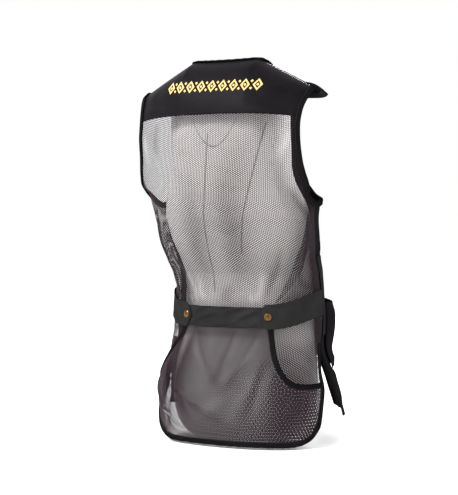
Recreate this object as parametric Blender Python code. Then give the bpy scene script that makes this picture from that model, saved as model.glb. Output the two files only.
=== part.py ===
"""A sleeveless shooting vest of mesh and twill, worn by a limbless torso form.

Metres, +Z up. The origin is the middle of the form's flat base. The wearer's
front faces -Y and the wearer's right side is -X.
"""

import math

import bmesh
import bpy
from mathutils import Matrix, Vector

MM = 0.001

# Heights, from the lowest edge of the vest, which hangs this far over the floor
HEM_LIFT = 5 * MM
ARMPIT = 478 * MM
LEAN_START = 490 * MM
NECK_HEIGHT = 760 * MM
YOKE_HEIGHT = 649 * MM
YOKE_DROP = 9 * MM
VENT_TOP = 199 * MM
BELT_HEIGHT = 250 * MM
V_NECK_HEIGHT = 575 * MM
FRONT_HEM = 46 * MM
CORNER_RISE = 5 * MM

# The fronts hang open. Below the chest each swings about its side seam by this many
# degrees, grows flatter, and under the vent's top leans outwards.
SWING = 25.0
SWING_TOP = 490 * MM
SWING_FULL = 190 * MM
SWING_FLATNESS = 0.7
FRONT_LEAN = 0.22

# Shoulders and neck
NECK_HALF_WIDTH = 72 * MM
SHOULDER_SLOPE = 0.53
RIDGE_Y = 52 * MM
BACK_NECK_DROP = 2 * MM
SHOULDER_FULLNESS = 4.0
SHOULDER_ROUNDNESS = 0.54

# Cloth and tape
MESH_THICK = 1.5 * MM
TWILL_THICK = 2.0 * MM
TAPE_THICK = 1.6 * MM
TAPE_WIDTH = 12 * MM
SEAM = 0.3 * MM
CLEAR = 0.9 * MM
TAPE_LIFT = 2.0 * MM
NECK_TAPE_LIFT = 2.6 * MM

# Angles round the body, in degrees from mid back; 180 is mid front
SIDE = 90.0
HEM_END = 88.4
SNAP_ANGLE = 31.5
VENT_OPENING = 17.0

# Levels that the back and the fronts share along the side seam, in millimetres
SIDE_LEVELS = (199, 225, 250, 275, 300, 325, 350, 378, 408, 440, 462, 478)

# Rows and columns of the panels
BACK_LOW_ROWS = 5
BACK_HIGH_ROWS = 9
BACK_ROW_GROWTH = 1.2
BACK_COLUMNS = 28
FRONT_LOW_ROWS = 5
FRONT_HIGH_ROWS = 18
FRONT_COLUMNS = 10
YOKE_ROWS = 10
YOKE_NECK_COLUMNS = 5
YOKE_COLUMNS = 24
POUCH_MID_COLUMNS = 6
POUCH_SIDE_COLUMNS = 10
POUCH_ROWS = 11

# Belt and snaps
BELT_WIDTH = 43 * MM
BELT_LIFT = 1.3 * MM
TAB_WIDTH = 51 * MM
TAB_RISE = 26 * MM
SNAP_RADIUS = 7.5 * MM
SNAP_CAP_COLUMNS = ("radius", "height")
SNAP_CAP = (
    (SNAP_RADIUS - 0.8 * MM, 0.0),
    (SNAP_RADIUS, 0.5 * MM),
    (SNAP_RADIUS, 1.1 * MM),
    (SNAP_RADIUS - 1.2 * MM, 2.0 * MM),
    (SNAP_RADIUS - 3 * MM, 2.5 * MM),
    (2 * MM, 2.8 * MM),
)

# Hem corners at the side vents: where each starts, and the powers of its curve. The
# left one hangs fuller.
HEM_CORNER_TOP = 96 * MM
HEM_CORNER_RIGHT = (44.0, 2.6, 0.45)
HEM_CORNER_LEFT = (32.0, 1.6, 0.85)

# Pouch
POUCH_GAP = 20 * MM
POUCH_TOP = 240 * MM
MOUTH_LOW = 120 * MM
MOUTH_START = 35.0
MOUTH_END = 87.6
MOUTH_PLUNGE_RIGHT = 9.0
MOUTH_PLUNGE_LEFT = 3.0

# Zip
ZIP_HALF_GAP = 7 * MM
ZIP_TAPE_INNER = 12 * MM
ZIP_TAPE_OUTER = 5.5 * MM
ZIP_TAPE_THICK = 1.0 * MM
TEETH_OUTER = 1.6 * MM
TEETH_WIDTH = 3.4 * MM
TEETH_THICK = 1.6 * MM
SLIDER_HEIGHT = 64 * MM
SLIDER_SIZE = (8 * MM, 4 * MM, 13 * MM)

# The slider's bridge, and the pull that hangs from it by a crossbar through its tunnel
BRIDGE_WIDTH = 2.4 * MM
BRIDGE_THICK = 1.0 * MM
BRIDGE_HALF_HEIGHT = 2.2 * MM
TUNNEL = 2.2 * MM
PULL_WIDTH = 7 * MM
PULL_THICK = 1.6 * MM
PULL_ABOVE = 0.7 * MM
PULL_BELOW = 27 * MM
SLOT_WIDTH = 3.6 * MM
SLOT_LOW = 4.4 * MM

# One row for each section of the cloth: its height, half width, depth behind and
# in front of its middle, the middle's own y, and the squareness of each half.
SECTION_COLUMNS = ("height", "half", "back", "front", "middle", "back_square", "front_square")
SECTIONS = (
    (0, 180, 120, 148, -14, 2.3, 2.2),
    (100, 178, 117, 136, -16, 2.3, 2.2),
    (170, 168, 106, 122, -24, 2.2, 2.2),
    (225, 166, 103, 110, -33, 2.1, 2.2),
    (255, 165, 103, 106, -36, 2.1, 2.2),
    (300, 161, 107, 104, -36, 2.1, 2.2),
    (335, 159, 111, 104, -32, 2.1, 2.2),
    (365, 160, 114, 106, -17, 2.2, 2.2),
    (400, 166, 117, 108, -2, 2.4, 2.3),
    (450, 170, 122, 100, 13, 2.6, 2.4),
    (490, 178, 127, 96, 18, 2.6, 2.6),
    (520, 196, 126, 92, 17, 2.6, 2.6),
    (600, 208, 117, 84, 20, 2.6, 2.6),
    (640, 211, 119, 84, 22, 2.6, 2.6),
    (772, 212, 121, 84, 22, 2.6, 2.6),
)

# The same columns for the torso form, narrower so that it clears the cloth.
FORM_SECTIONS = (
    (-5, 88, 62, 62, 0, 2.2, 2.2),
    (3, 104, 70, 72, -1, 2.2, 2.2),
    (22, 130, 82, 86, -5, 2.3, 2.3),
    (50, 148, 88, 96, -10, 2.3, 2.3),
    (100, 156, 90, 98, -16, 2.3, 2.2),
    (170, 151, 84, 92, -24, 2.2, 2.2),
    (250, 142, 82, 84, -35, 2.1, 2.2),
    (300, 139, 86, 82, -36, 2.1, 2.2),
    (335, 138, 90, 82, -32, 2.1, 2.2),
    (365, 140, 93, 84, -17, 2.2, 2.2),
    (400, 146, 96, 86, -2, 2.4, 2.3),
    (450, 152, 102, 82, 11, 2.5, 2.4),
    (480, 146, 92, 82, 22, 2.6, 2.5),
    (520, 132, 78, 76, 38, 2.6, 2.6),
    (560, 126, 72, 72, 44, 2.6, 2.6),
    (640, 126, 72, 72, 46, 2.6, 2.6),
    (772, 126, 72, 72, 46, 2.6, 2.6),
)
FORM_LEVELS = (-5, -1, 3, 10, 22, 36, 50, 75, 100, 135, 170, 210, 250, 300, 335, 365, 400, 425,
               450, 465, 480, 500, 520, 540, 560, 600, 640, 680, 715, 735, 748, 756)
FORM_SHOULDER_DROP = 1.0 * MM
FORM_NECK_SINK = 16 * MM
FORM_NECK = ((640, 50, 42), (738, 50, 42), (744, 48, 40), (748, 43, 35))
FORM_NECK_Y = 30 * MM

# Edge of each armhole: height up the ring, and the angle round from mid back or
# mid front.
ARMHOLE_COLUMNS = ("height", "back_angle", "front_angle")
ARMHOLE = (
    (478, 90.0, 90.0),
    (483, 86.0, 74.0),
    (491, 81.0, 54.0),
    (503, 75.5, 41.0),
    (520, 69.5, 31.5),
    (548, 62.5, 24.5),
    (580, 57.5, 21.6),
    (620, 54.5, 20.4),
    (662, 53.5, 22.0),
    (686, 54.0, 25.0),
    (706, 55.0, 29.5),
    (726, 57.0, 37.0),
    (760, 61.0, 61.0),
)

# Take-up pleat from the armhole down to the tab's tip: height and angle.
PLEAT = ((272, 37.2), (300, 46.0), (350, 62.0), (402, 74.0), (462, 81.0))
PLEAT_RISE = 5 * MM
PLEAT_HALF_WIDTH = 20 * MM

# Drape folds of the pouch: upper and lower ends as angle and height, and rise.
POUCH_FOLDS = (
    (-30, 225, 8, 40, 4.0),
    (-36, 190, -16, 25, 3.5),
    (30, 222, -18, 120, 4.5),
    (33, 205, 2, 60, 4.0),
    (-48, 150, -40, 40, 3.0),
    (42, 130, 26, 30, 3.5),
    (60, 105, 44, 25, 3.0),
)
FOLD_HALF_WIDTH = 17 * MM
FOLD_RADIUS = 150 * MM
FOLD_BEND = 0.8

# Front pockets: range of angle and height, and how far the bellows stand out
POCKET_ANGLES = (112.0, 160.0)
POCKET_HEIGHTS = (142 * MM, 276 * MM)
POCKET_DEPTH = 18 * MM
POCKET_LIFT = 1.6 * MM
POCKET_COLUMNS = 12
POCKET_ROWS = 9

# Grey panel at each side of the waist, on the front: angles and heights
WAIST_ANGLES = (90.6, 107.0)
WAIST_HEIGHTS = (212 * MM, 372 * MM)

# Butt pad on the right shoulder
PAD_THICK = 2.5 * MM
PAD_LIFT = 5.2 * MM
PAD_DROP = 14 * MM
PAD_LEAVE = 0.45
PAD_OVERHANG = 24.0
PAD_ARCH = 6 * MM
PAD_CORNER = (-196 * MM, 5 * MM, 695 * MM)


def curve_value(rows, column, at):
    """A smooth value read from a table whose first column rises, by cubic pieces."""
    if at <= rows[0][0]:
        return rows[0][column]
    if at >= rows[-1][0]:
        return rows[-1][column]
    index = max(i for i, row in enumerate(rows[:-1]) if row[0] <= at)

    def slope(i):
        if i in (0, len(rows) - 1):
            return 0.0
        before = (rows[i][column] - rows[i - 1][column]) / (rows[i][0] - rows[i - 1][0])
        after = (rows[i + 1][column] - rows[i][column]) / (rows[i + 1][0] - rows[i][0])
        return 0.0 if before * after <= 0 else 2 * before * after / (before + after)

    low, high = rows[index], rows[index + 1]
    span = high[0] - low[0]
    t = (at - low[0]) / span
    return (
        (2 * t**3 - 3 * t**2 + 1) * low[column]
        + (t**3 - 2 * t**2 + t) * span * slope(index)
        + (3 * t**2 - 2 * t**3) * high[column]
        + (t**3 - t**2) * span * slope(index + 1)
    )


def blend(low, high, t):
    return low + (high - low) * t


def smooth(t):
    t = min(1.0, max(0.0, t))
    return t * t * (3 - 2 * t)


def shoulder_height(x):
    """Height of the shoulder ridge over x, level across the neck."""
    return NECK_HEIGHT - SHOULDER_SLOPE * max(0.0, abs(x) - NECK_HALF_WIDTH)


def section_value(rows, name, height):
    return curve_value(rows, SECTION_COLUMNS.index(name), height / MM)


def swung(x, y, half, depth, middle, height):
    """Where a point of an open front lies once it has swung out and grown flatter."""
    share = 1 - smooth((height - SWING_FULL) / (SWING_TOP - SWING_FULL))
    side = math.copysign(1.0, x)
    across, ahead = half - abs(x), middle - y
    along = 0.5 * (across / half + ahead / depth)
    across = blend(across, along * half, share * SWING_FLATNESS)
    ahead = blend(ahead, along * depth, share * SWING_FLATNESS)
    turn = math.radians(SWING * share)
    moved = across * math.cos(turn) - ahead * math.sin(turn)
    forward = across * math.sin(turn) + ahead * math.cos(turn)
    lean = FRONT_LEAN * max(0.0, VENT_TOP - height) * smooth((VENT_TOP - height) / (50 * MM))
    return side * (half - moved + lean), middle - forward


def ring_point(rows, angle, height, shoulder_drop=0.0, gap=SEAM / 2, opened=True):
    """A point of a ring. The angle runs from mid back, 0, to mid front, 180, and is
    negative on the wearer's right. Above the armpit the rings lean onto the ridge."""
    half = section_value(rows, "half", height) * MM
    middle = section_value(rows, "middle", height) * MM
    side = "back" if abs(angle) <= SIDE else "front"
    facing = 1 if side == "back" else -1
    depth = section_value(rows, side, height) * MM
    power = 2 / section_value(rows, side + "_square", height)
    turn = math.radians(angle)
    x = math.copysign(half * abs(math.sin(turn)) ** power, math.sin(turn))
    y = middle + facing * depth * abs(math.cos(turn)) ** power
    if side == "front" and opened and height < SWING_TOP:
        x, y = swung(x, y, half, depth, middle, height)
    z = height
    if height > LEAN_START:
        share = min(1.0, (height - LEAN_START) / (NECK_HEIGHT - LEAN_START))
        z = blend(LEAN_START, shoulder_height(x) - shoulder_drop, share)
        y = blend(RIDGE_Y, y, (1 - share**SHOULDER_FULLNESS) ** SHOULDER_ROUNDNESS)
    return Vector((x, y + facing * gap, z + HEM_LIFT))


def vest_point(angle, height, out=0.0):
    """A point of the vest's outer cloth, moved out along the cloth's own normal."""
    step_angle, step_height = 0.4, 0.4 * MM
    middle = min(height, NECK_HEIGHT - 2 * step_height)
    first, last = angle - step_angle, angle + step_angle
    if abs(angle) <= SIDE:
        first, last = max(first, -SIDE), min(last, SIDE)
    elif angle > 0:
        first, last = max(first, SIDE + 0.001), min(last, 179.999)
    else:
        first, last = max(first, -179.999), min(last, -SIDE - 0.001)
    across = ring_point(SECTIONS, last, middle) - ring_point(SECTIONS, first, middle)
    above = ring_point(SECTIONS, angle, middle + step_height)
    upward = above - ring_point(SECTIONS, angle, middle - step_height)
    normal = upward.cross(across)
    if abs(angle) <= SIDE:
        normal.negate()
    normal.normalize()
    at_ridge = height > NECK_HEIGHT - 3 * step_height
    at_seam = abs(abs(angle) - SIDE) < 0.01
    if at_ridge or at_seam:
        normal.y = 0.0
        normal.normalize()
    base = ring_point(SECTIONS, angle, height)
    outward = base - Vector((0.0, section_value(SECTIONS, "middle", height) * MM, base.z))
    if height > NECK_HEIGHT - 40 * MM:
        outward = Vector((0.0, 0.0, 1.0))
    if normal.dot(outward) < 0:
        normal.negate()
    return base + normal * out


def height_at(angle, z):
    """The ring height whose point over this angle stands z over the hem."""
    if z <= LEAN_START:
        return z
    height = z
    for _ in range(6):
        top = shoulder_height(ring_point(SECTIONS, angle, height).x)
        height = LEAN_START + (z - LEAN_START) / (top - LEAN_START) * (NECK_HEIGHT - LEAN_START)
    return height


def armhole_angle(height, side="back"):
    return curve_value(ARMHOLE, ARMHOLE_COLUMNS.index(side + "_angle"), height / MM)


def angle_over(x, height, side):
    """The angle from mid back or mid front at which a ring passes over x."""
    half = section_value(SECTIONS, "half", height) * MM
    power = section_value(SECTIONS, side + "_square", height) / 2
    return math.degrees(math.asin(min(1.0, (abs(x) / half) ** power)))


def front_angle(x, height):
    return math.copysign(180 - angle_over(x, height, "front"), x)


def pleat_rise(angle, height):
    """The take-up pleat stands out as a soft ridge."""
    low, high = PLEAT[0][0] * MM, PLEAT[-1][0] * MM
    if not low < height < high:
        return 0.0
    away = math.radians(abs(angle) - curve_value(PLEAT, 1, height / MM)) * FOLD_RADIUS
    ends = math.sin(math.pi * (height - low) / (high - low)) ** 0.5
    return PLEAT_RISE * ends * math.exp(-((away / PLEAT_HALF_WIDTH) ** 2))


def pouch_fold_rise(angle, height):
    """Sum of the pouch's slanted drape folds at a place."""
    rise = 0.0
    for top_angle, top_height, low_angle, low_height, size in POUCH_FOLDS:
        t = (top_height - height / MM) / (top_height - low_height)
        if 0 < t < 1:
            away = math.radians(angle - blend(top_angle, low_angle, t**FOLD_BEND)) * FOLD_RADIUS
            rise += size * MM * math.sin(math.pi * t) * math.exp(-((away / FOLD_HALF_WIDTH) ** 2))
    return rise


def hem_height(angle):
    """The back hem is level, and its corners round up to the side vents."""
    start, curl, swing = HEM_CORNER_RIGHT if angle < 0 else HEM_CORNER_LEFT
    t = min(1.0, max(0.0, (abs(angle) - start) / (HEM_END - start)))
    return HEM_CORNER_TOP * (1 - (1 - t**curl) ** swing)


def yoke_height(angle):
    """Height of the yoke's lower edge, a little lower at the armholes."""
    share = min(1.0, abs(angle) / 54)
    return height_at(angle, YOKE_HEIGHT - YOKE_DROP * share**2)


def neck_height(angle):
    """Top of the back: the neckline across the neck, and the ridge beyond it."""
    x = abs(ring_point(SECTIONS, angle, NECK_HEIGHT).x)
    if x >= NECK_HALF_WIDTH - 0.01 * MM:
        return NECK_HEIGHT
    return NECK_HEIGHT - BACK_NECK_DROP * (1 - (x / NECK_HALF_WIDTH) ** 2)


def yoke_corner():
    """Angle and height of the yoke's lower corner, on the armhole."""
    angle = 54.0
    for _ in range(6):
        angle = armhole_angle(yoke_height(angle))
    return angle, yoke_height(angle)


YOKE_CORNER_ANGLE, YOKE_CORNER_HEIGHT = yoke_corner()


def back_mesh_place(column, row):
    """The rows run from the hem to the yoke, and the columns fan to the armholes."""
    across = 2 * column / BACK_COLUMNS - 1
    side_rows = len(SIDE_LEVELS) - 1
    if row <= BACK_LOW_ROWS:
        angle = HEM_END * across
        height = blend(hem_height(angle), VENT_TOP, row / BACK_LOW_ROWS)
    elif row <= BACK_LOW_ROWS + side_rows:
        height = SIDE_LEVELS[row - BACK_LOW_ROWS] * MM
        angle = SIDE * across
    else:
        share = ((row - BACK_LOW_ROWS - side_rows) / BACK_HIGH_ROWS) ** BACK_ROW_GROWTH
        edge = blend(ARMPIT, YOKE_CORNER_HEIGHT, share)
        angle = armhole_angle(edge) * across
        height = blend(ARMPIT, yoke_height(YOKE_CORNER_ANGLE * across) - SEAM, share)
    return angle, height, pleat_rise(angle, height)


def yoke_top_angle(reach):
    """Angle along the yoke's top: five even steps over the neck, then the shoulder."""
    neck = angle_over(NECK_HALF_WIDTH, NECK_HEIGHT, "back")
    neck_share = 2 * YOKE_NECK_COLUMNS / YOKE_COLUMNS
    if reach <= neck_share:
        return neck * reach / neck_share
    return blend(neck, ARMHOLE[-1][1], (reach - neck_share) / (1 - neck_share))


def yoke_place(column, row):
    across = 2 * column / YOKE_COLUMNS - 1
    reach = abs(across)
    lift = math.sin(row / YOKE_ROWS * math.pi / 2)
    edge = blend(YOKE_CORNER_HEIGHT, NECK_HEIGHT, lift)
    bend = armhole_angle(edge) - blend(YOKE_CORNER_ANGLE, ARMHOLE[-1][1], lift)
    top_angle = yoke_top_angle(reach)
    low_angle = YOKE_CORNER_ANGLE * reach
    angle = blend(low_angle, top_angle, lift) + bend * reach**4
    height = blend(yoke_height(low_angle), neck_height(top_angle), lift)
    return math.copysign(angle, across), height, 0.0


def ease(t):
    """Runs from 0 to 1 with small steps at both ends."""
    return (1 - math.cos(math.pi * t)) / 2


def front_height(row):
    side_rows = len(SIDE_LEVELS) - 1
    if row <= FRONT_LOW_ROWS:
        return blend(FRONT_HEM, VENT_TOP, row / FRONT_LOW_ROWS)
    if row <= FRONT_LOW_ROWS + side_rows:
        return SIDE_LEVELS[row - FRONT_LOW_ROWS] * MM
    share = (row - FRONT_LOW_ROWS - side_rows) / FRONT_HIGH_ROWS
    return blend(ARMPIT, NECK_HEIGHT, ease(share))


def front_edge_x(height):
    """The front's edge beside the zip, and the V neck above it."""
    if height <= V_NECK_HEIGHT:
        return ZIP_HALF_GAP
    share = (height - V_NECK_HEIGHT) / (NECK_HEIGHT - V_NECK_HEIGHT)
    return blend(ZIP_HALF_GAP, NECK_HALF_WIDTH, share**0.85)


def front_place(side):
    def place(column, row):
        u = 1 - (1 - column / FRONT_COLUMNS) ** 1.5
        height = front_height(row)
        centre = front_angle(front_edge_x(height), height)
        if height <= ARMPIT:
            open_share = 1 - smooth((height - FRONT_HEM) / (VENT_TOP - FRONT_HEM))
            edge = SIDE + 0.001 + VENT_OPENING * open_share
        else:
            edge = 180 - armhole_angle(height, "front")
        angle = blend(centre, edge, u)
        if row < FRONT_LOW_ROWS:
            height += CORNER_RISE * (1 - row / FRONT_LOW_ROWS) * u**5
        return side * angle, height, 0.0
    return place


def waist_place(side):
    def place(u, v):
        narrow = 1.6 * math.sin(math.pi * v)
        angle = blend(WAIST_ANGLES[0], WAIST_ANGLES[1] - narrow, u)
        return side * angle, blend(*WAIST_HEIGHTS, v), CLEAR + TWILL_THICK
    return place


def belt_out(angle, height):
    """The belt lies over the pouch's top edge, and past it on the mesh."""
    over_pouch = 1 - smooth((abs(angle) - 44) / 12)
    return pleat_rise(angle, height) + BELT_LIFT + TWILL_THICK + over_pouch * (CLEAR + MESH_THICK)


def belt_place(u, v):
    end = SNAP_ANGLE + 7
    angle = blend(-end, end, u)
    height = BELT_HEIGHT + (v - 0.5) * BELT_WIDTH
    return angle, height, belt_out(angle, height)


def tab_place(side, rounded):
    """From the side seam back to the tab's tip, sloping down to the belt."""
    def place(u, v):
        across = abs(2 * v - 1)
        point = 1 - (1 - across**2) ** 0.5 if rounded else across
        tip = SNAP_ANGLE - 5 + 4.5 * point
        angle = blend(89.2, tip, u)
        middle = BELT_HEIGHT + 2 * MM + TAB_RISE * smooth((angle - SNAP_ANGLE) / (SIDE - SNAP_ANGLE))
        height = middle + (v - 0.5) * TAB_WIDTH
        raised = smooth((62 - angle) / 16) * (CLEAR + TWILL_THICK)
        return side * angle, height, belt_out(angle, height) + raised
    return place


def pouch_gap(angle, height):
    """How far the pouch stands off the back: most in its middle, none at its seams."""
    low = hem_height(angle) + 14 * MM
    share = min(1.0, max(0.0, (height - low) / (POUCH_TOP - 30 * MM - low)))
    bulge = math.sin(math.pi * share) ** 0.9
    sides = 1 - smooth((abs(angle) - 30) / 48)
    return (POUCH_GAP + pouch_fold_rise(angle, height)) * bulge * sides


def pouch_out(angle, height):
    return CLEAR + MESH_THICK + pouch_gap(angle, height)


def mouth_height(angle):
    """Top of the pouch: hidden under the belt, then the curved side mouth."""
    if abs(angle) <= MOUTH_START:
        return POUCH_TOP
    t = min(1.0, (abs(angle) - MOUTH_START) / (MOUTH_END - MOUTH_START))
    plunge = MOUTH_PLUNGE_RIGHT if angle < 0 else MOUTH_PLUNGE_LEFT
    return blend(POUCH_TOP, MOUTH_LOW, 1 - (1 - t) ** plunge)


def pouch_angle(column):
    """Even columns over the middle, then ones that widen from the mouths outwards."""
    if column <= POUCH_MID_COLUMNS:
        return MOUTH_START * column / POUCH_MID_COLUMNS
    share = (column - POUCH_MID_COLUMNS) / POUCH_SIDE_COLUMNS
    return blend(MOUTH_START, MOUTH_END, share**1.7)


def pouch_place(column, row):
    middle = POUCH_MID_COLUMNS + POUCH_SIDE_COLUMNS
    angle = math.copysign(pouch_angle(abs(column - middle)), column - middle)
    low, high = hem_height(angle) + SEAM, mouth_height(angle)
    edge = min(13 * MM, 0.3 * (high - low))
    if row == 0:
        height = low
    elif row == POUCH_ROWS:
        height = high
    else:
        height = blend(low + edge, high - edge, (row - 1) / (POUCH_ROWS - 2))
    return angle, height, pouch_out(angle, height)


def pocket_place(side, inset):
    """A pocket whose sides and floor fold out like bellows. Its top is open. The inset
    draws its faces in, to give the inner face of its wall."""
    def place(u, v):
        turn = math.degrees(inset / (170 * MM))
        angle = blend(POCKET_ANGLES[0] + turn, POCKET_ANGLES[1] - turn, u)
        height = blend(POCKET_HEIGHTS[0] + inset, POCKET_HEIGHTS[1], v)
        sides = min(1.0, (1 - abs(2 * u - 1)) / 0.2) ** 0.75
        floor = min(1.0, v / 0.12) ** 0.75
        belly = 0.55 + 0.55 * smooth((v - 0.1) / 0.6) - 0.25 * smooth((v - 0.8) / 0.2)
        out = POCKET_LIFT + TWILL_THICK + POCKET_DEPTH * sides * floor * belly - inset
        return side * angle, height, out
    return place


def pad_top(u, out):
    """Where the pad's top edge would lie if it followed the cloth."""
    height = NECK_HEIGHT - PAD_DROP - 40 * MM * smooth((u - PAD_LEAVE) / (1 - PAD_LEAVE))
    inner = angle_over(96 * MM, height, "front")
    outer = armhole_angle(min(height, 716 * MM), "front") + PAD_OVERHANG
    return vest_point(blend(inner, outer, u) - 180, height, out)


def pad_point(u, v):
    """The pad hangs from the shoulder seam, and its outer corner stands clear of the
    cloth, so that its top edge runs straight from the seam out to that corner."""
    out = PAD_LIFT + PAD_THICK
    top = NECK_HEIGHT - PAD_DROP - 40 * MM * smooth((u - PAD_LEAVE) / (1 - PAD_LEAVE))
    height = blend(560 * MM, top, math.sin(v * math.pi / 2))
    inner = angle_over(blend(88 * MM, 96 * MM, v), height, "front")
    inner = min(inner, armhole_angle(height, "front") - 5)
    outer = armhole_angle(min(height, 716 * MM), "front") + PAD_OVERHANG * smooth((v - 0.7) / 0.3)
    cloth = vest_point(blend(inner, outer, u) - 180, height, out)
    if u <= PAD_LEAVE:
        return cloth
    share = (u - PAD_LEAVE) / (1 - PAD_LEAVE)
    straight = pad_top(PAD_LEAVE, out).lerp(Vector(PAD_CORNER), share)
    straight.z += PAD_ARCH * math.sin(math.pi * share)
    return cloth + (straight - pad_top(u, out)) * v**4


def material(name, colour, roughness, metallic=0.0):
    made = bpy.data.materials.new(name)
    made.use_nodes = True
    shader = made.node_tree.nodes["Principled BSDF"]
    shader.inputs["Base Color"].default_value = (*colour, 1.0)
    shader.inputs["Roughness"].default_value = roughness
    shader.inputs["Metallic"].default_value = metallic
    made.diffuse_color = (*colour, 1.0)
    return made


def finish(name, mesh, look):
    """Makes the object from a bmesh whose faces already close it."""
    bmesh.ops.remove_doubles(mesh, verts=mesh.verts, dist=0.01 * MM)
    bmesh.ops.recalc_face_normals(mesh, faces=mesh.faces)
    data = bpy.data.meshes.new(name)
    mesh.to_mesh(data)
    mesh.free()
    data.shade_smooth()
    data.set_sharp_from_angle(angle=math.radians(40))
    data.materials.append(look)
    made = bpy.data.objects.new(name, data)
    bpy.context.scene.collection.objects.link(made)
    return made


def wall(name, look, outer, inner, closed=False):
    """A closed wall between two grids of points, listed row by row. A looped one
    joins its last row to its first."""
    mesh = bmesh.new()
    out, within = [[[mesh.verts.new(p) for p in row] for row in grid] for grid in (outer, inner)]
    rows, columns = len(outer), len(outer[0])
    last = rows if closed else rows - 1
    for r in range(last):
        n = (r + 1) % rows
        for c in range(columns - 1):
            mesh.faces.new([out[r][c], out[r][c + 1], out[n][c + 1]])
            mesh.faces.new([out[r][c], out[n][c + 1], out[n][c]])
            mesh.faces.new([within[n][c + 1], within[r][c + 1], within[r][c]])
            mesh.faces.new([within[n][c], within[n][c + 1], within[r][c]])
        mesh.faces.new([out[n][0], within[n][0], within[r][0], out[r][0]])
        mesh.faces.new([out[r][-1], within[r][-1], within[n][-1], out[n][-1]])
    if not closed:
        for c in range(columns - 1):
            mesh.faces.new([out[0][c], within[0][c], within[0][c + 1], out[0][c + 1]])
            mesh.faces.new([out[-1][c + 1], within[-1][c + 1], within[-1][c], out[-1][c]])
    return finish(name, mesh, look)


def grid_normal(grid, r, c):
    """Unit normal of the sheet at one point, facing away from the body's middle."""
    above, below = grid[min(r + 1, len(grid) - 1)][c], grid[max(r - 1, 0)][c]
    right, left = grid[r][min(c + 1, len(grid[0]) - 1)], grid[r][max(c - 1, 0)]
    normal = (above - below).cross(right - left).normalized()
    outward = grid[r][c] - Vector((0.0, RIDGE_Y / 2, grid[r][c].z - 20 * MM))
    return normal if normal.dot(outward) > 0 else -normal


def thickened(outer, thick):
    """The inner face of a sheet, square to its outer one."""
    grid = []
    for r, row in enumerate(outer):
        grid.append([point - grid_normal(outer, r, c) * thick for c, point in enumerate(row)])
    return grid


def panel(name, look, place, columns, rows, thick):
    """A cloth panel. place(column, row) gives the angle, the height and how far the
    outer face lies over the vest's surface."""
    spots = [[place(c, r) for c in range(columns + 1)] for r in range(rows + 1)]
    outer = [[vest_point(*spot) for spot in row] for row in spots]
    inner = [[vest_point(a, h, out - thick) for a, h, out in row] for row in spots]
    return wall(name, look, outer, inner)


def patch(name, look, place, columns, rows, thick):
    """A panel whose place function takes shares, from 0 to 1."""
    return panel(name, look, lambda c, r: place(c / columns, r / rows), columns, rows, thick)


def tape(name, look, path, out, inward, closed=False):
    """A tape along path, a list of angles and heights at the cloth's edge. inward is
    1 or -1, for the side of the path on which the tape's width lies."""
    edge = [vest_point(*spot) for spot in path]
    outer, inner = [], []
    count = len(path)
    for i, (angle, height) in enumerate(path):
        after = edge[(i + 1) % count] if closed else edge[min(i + 1, count - 1)]
        before = edge[i - 1] if closed else edge[max(i - 1, 0)]
        normal = vest_point(angle, height, 1 * MM) - edge[i]
        aim = normal.cross(after - before).normalized() * inward * TAPE_WIDTH
        per_degree = vest_point(angle + 1, height) - edge[i]
        per_mm = edge[i] - vest_point(angle, height - 1 * MM)
        turn, climb = in_basis(aim, per_degree, per_mm)
        high, low = [], []
        for part in (0.0, 0.5, 1.0):
            a = angle + part * turn
            h = min(height + part * climb * MM, NECK_HEIGHT)
            lift = out(a, h)
            high.append(vest_point(a, h, lift + TAPE_THICK))
            low.append(vest_point(a, h, lift))
        outer.append(high)
        inner.append(low)
    return wall(name, look, outer, inner, closed)


def in_basis(aim, first, second):
    """The amounts of two vectors that come closest to a third."""
    a, b, c = first.dot(first), first.dot(second), second.dot(second)
    d, e = first.dot(aim), second.dot(aim)
    scale = a * c - b * b
    return (d * c - e * b) / scale, (a * e - b * d) / scale


def armhole_path(side):
    """Up the back's edge from the armpit to the ridge, then down the front's."""
    heights = [blend(ARMPIT, NECK_HEIGHT, ease(i / FRONT_HIGH_ROWS)) for i in range(FRONT_HIGH_ROWS + 1)]
    path = [(side * armhole_angle(h), h) for h in heights]
    path += [(side * (180 - armhole_angle(h, "front")), h) for h in heights[-2:0:-1]]
    return path


def armhole_out(angle, height):
    """The armhole's tape lies a little fuller where it turns under the arm."""
    under_arm = smooth((505 * MM - height) / (20 * MM))
    return TAPE_LIFT + 1.6 * MM * under_arm + pleat_rise(angle, height)


def neck_path():
    """Up the right edge of the V, round the back of the neck and down the left."""
    first = FRONT_LOW_ROWS + len(SIDE_LEVELS) - 1
    heights = [front_height(first + i) for i in range(FRONT_HIGH_ROWS)]
    heights = [V_NECK_HEIGHT + 2 * MM] + [h for h in heights if h > V_NECK_HEIGHT + 8 * MM]
    right = [(-front_angle(front_edge_x(h), h), h) for h in heights]
    back = []
    for i in range(-YOKE_NECK_COLUMNS, YOKE_NECK_COLUMNS + 1):
        angle = math.copysign(yoke_top_angle(2 * abs(i) / YOKE_COLUMNS), i)
        back.append((angle, neck_height(angle)))
    return right + back + [(-a, h) for a, h in reversed(right)]


def hem_path():
    """Down the right vent, along the hem and up the left vent."""
    vent = [blend(VENT_TOP - 2 * MM, HEM_CORNER_TOP, i / 5) for i in range(5)]
    path = [(-HEM_END, h) for h in vent] + [(-HEM_END, HEM_CORNER_TOP)]
    last = POUCH_MID_COLUMNS + POUCH_SIDE_COLUMNS
    for column in range(1 - last, last):
        angle = math.copysign(pouch_angle(abs(column)), column)
        path.append((angle, hem_height(angle)))
    return path + [(HEM_END, HEM_CORNER_TOP)] + [(HEM_END, h) for h in reversed(vent)]


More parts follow.
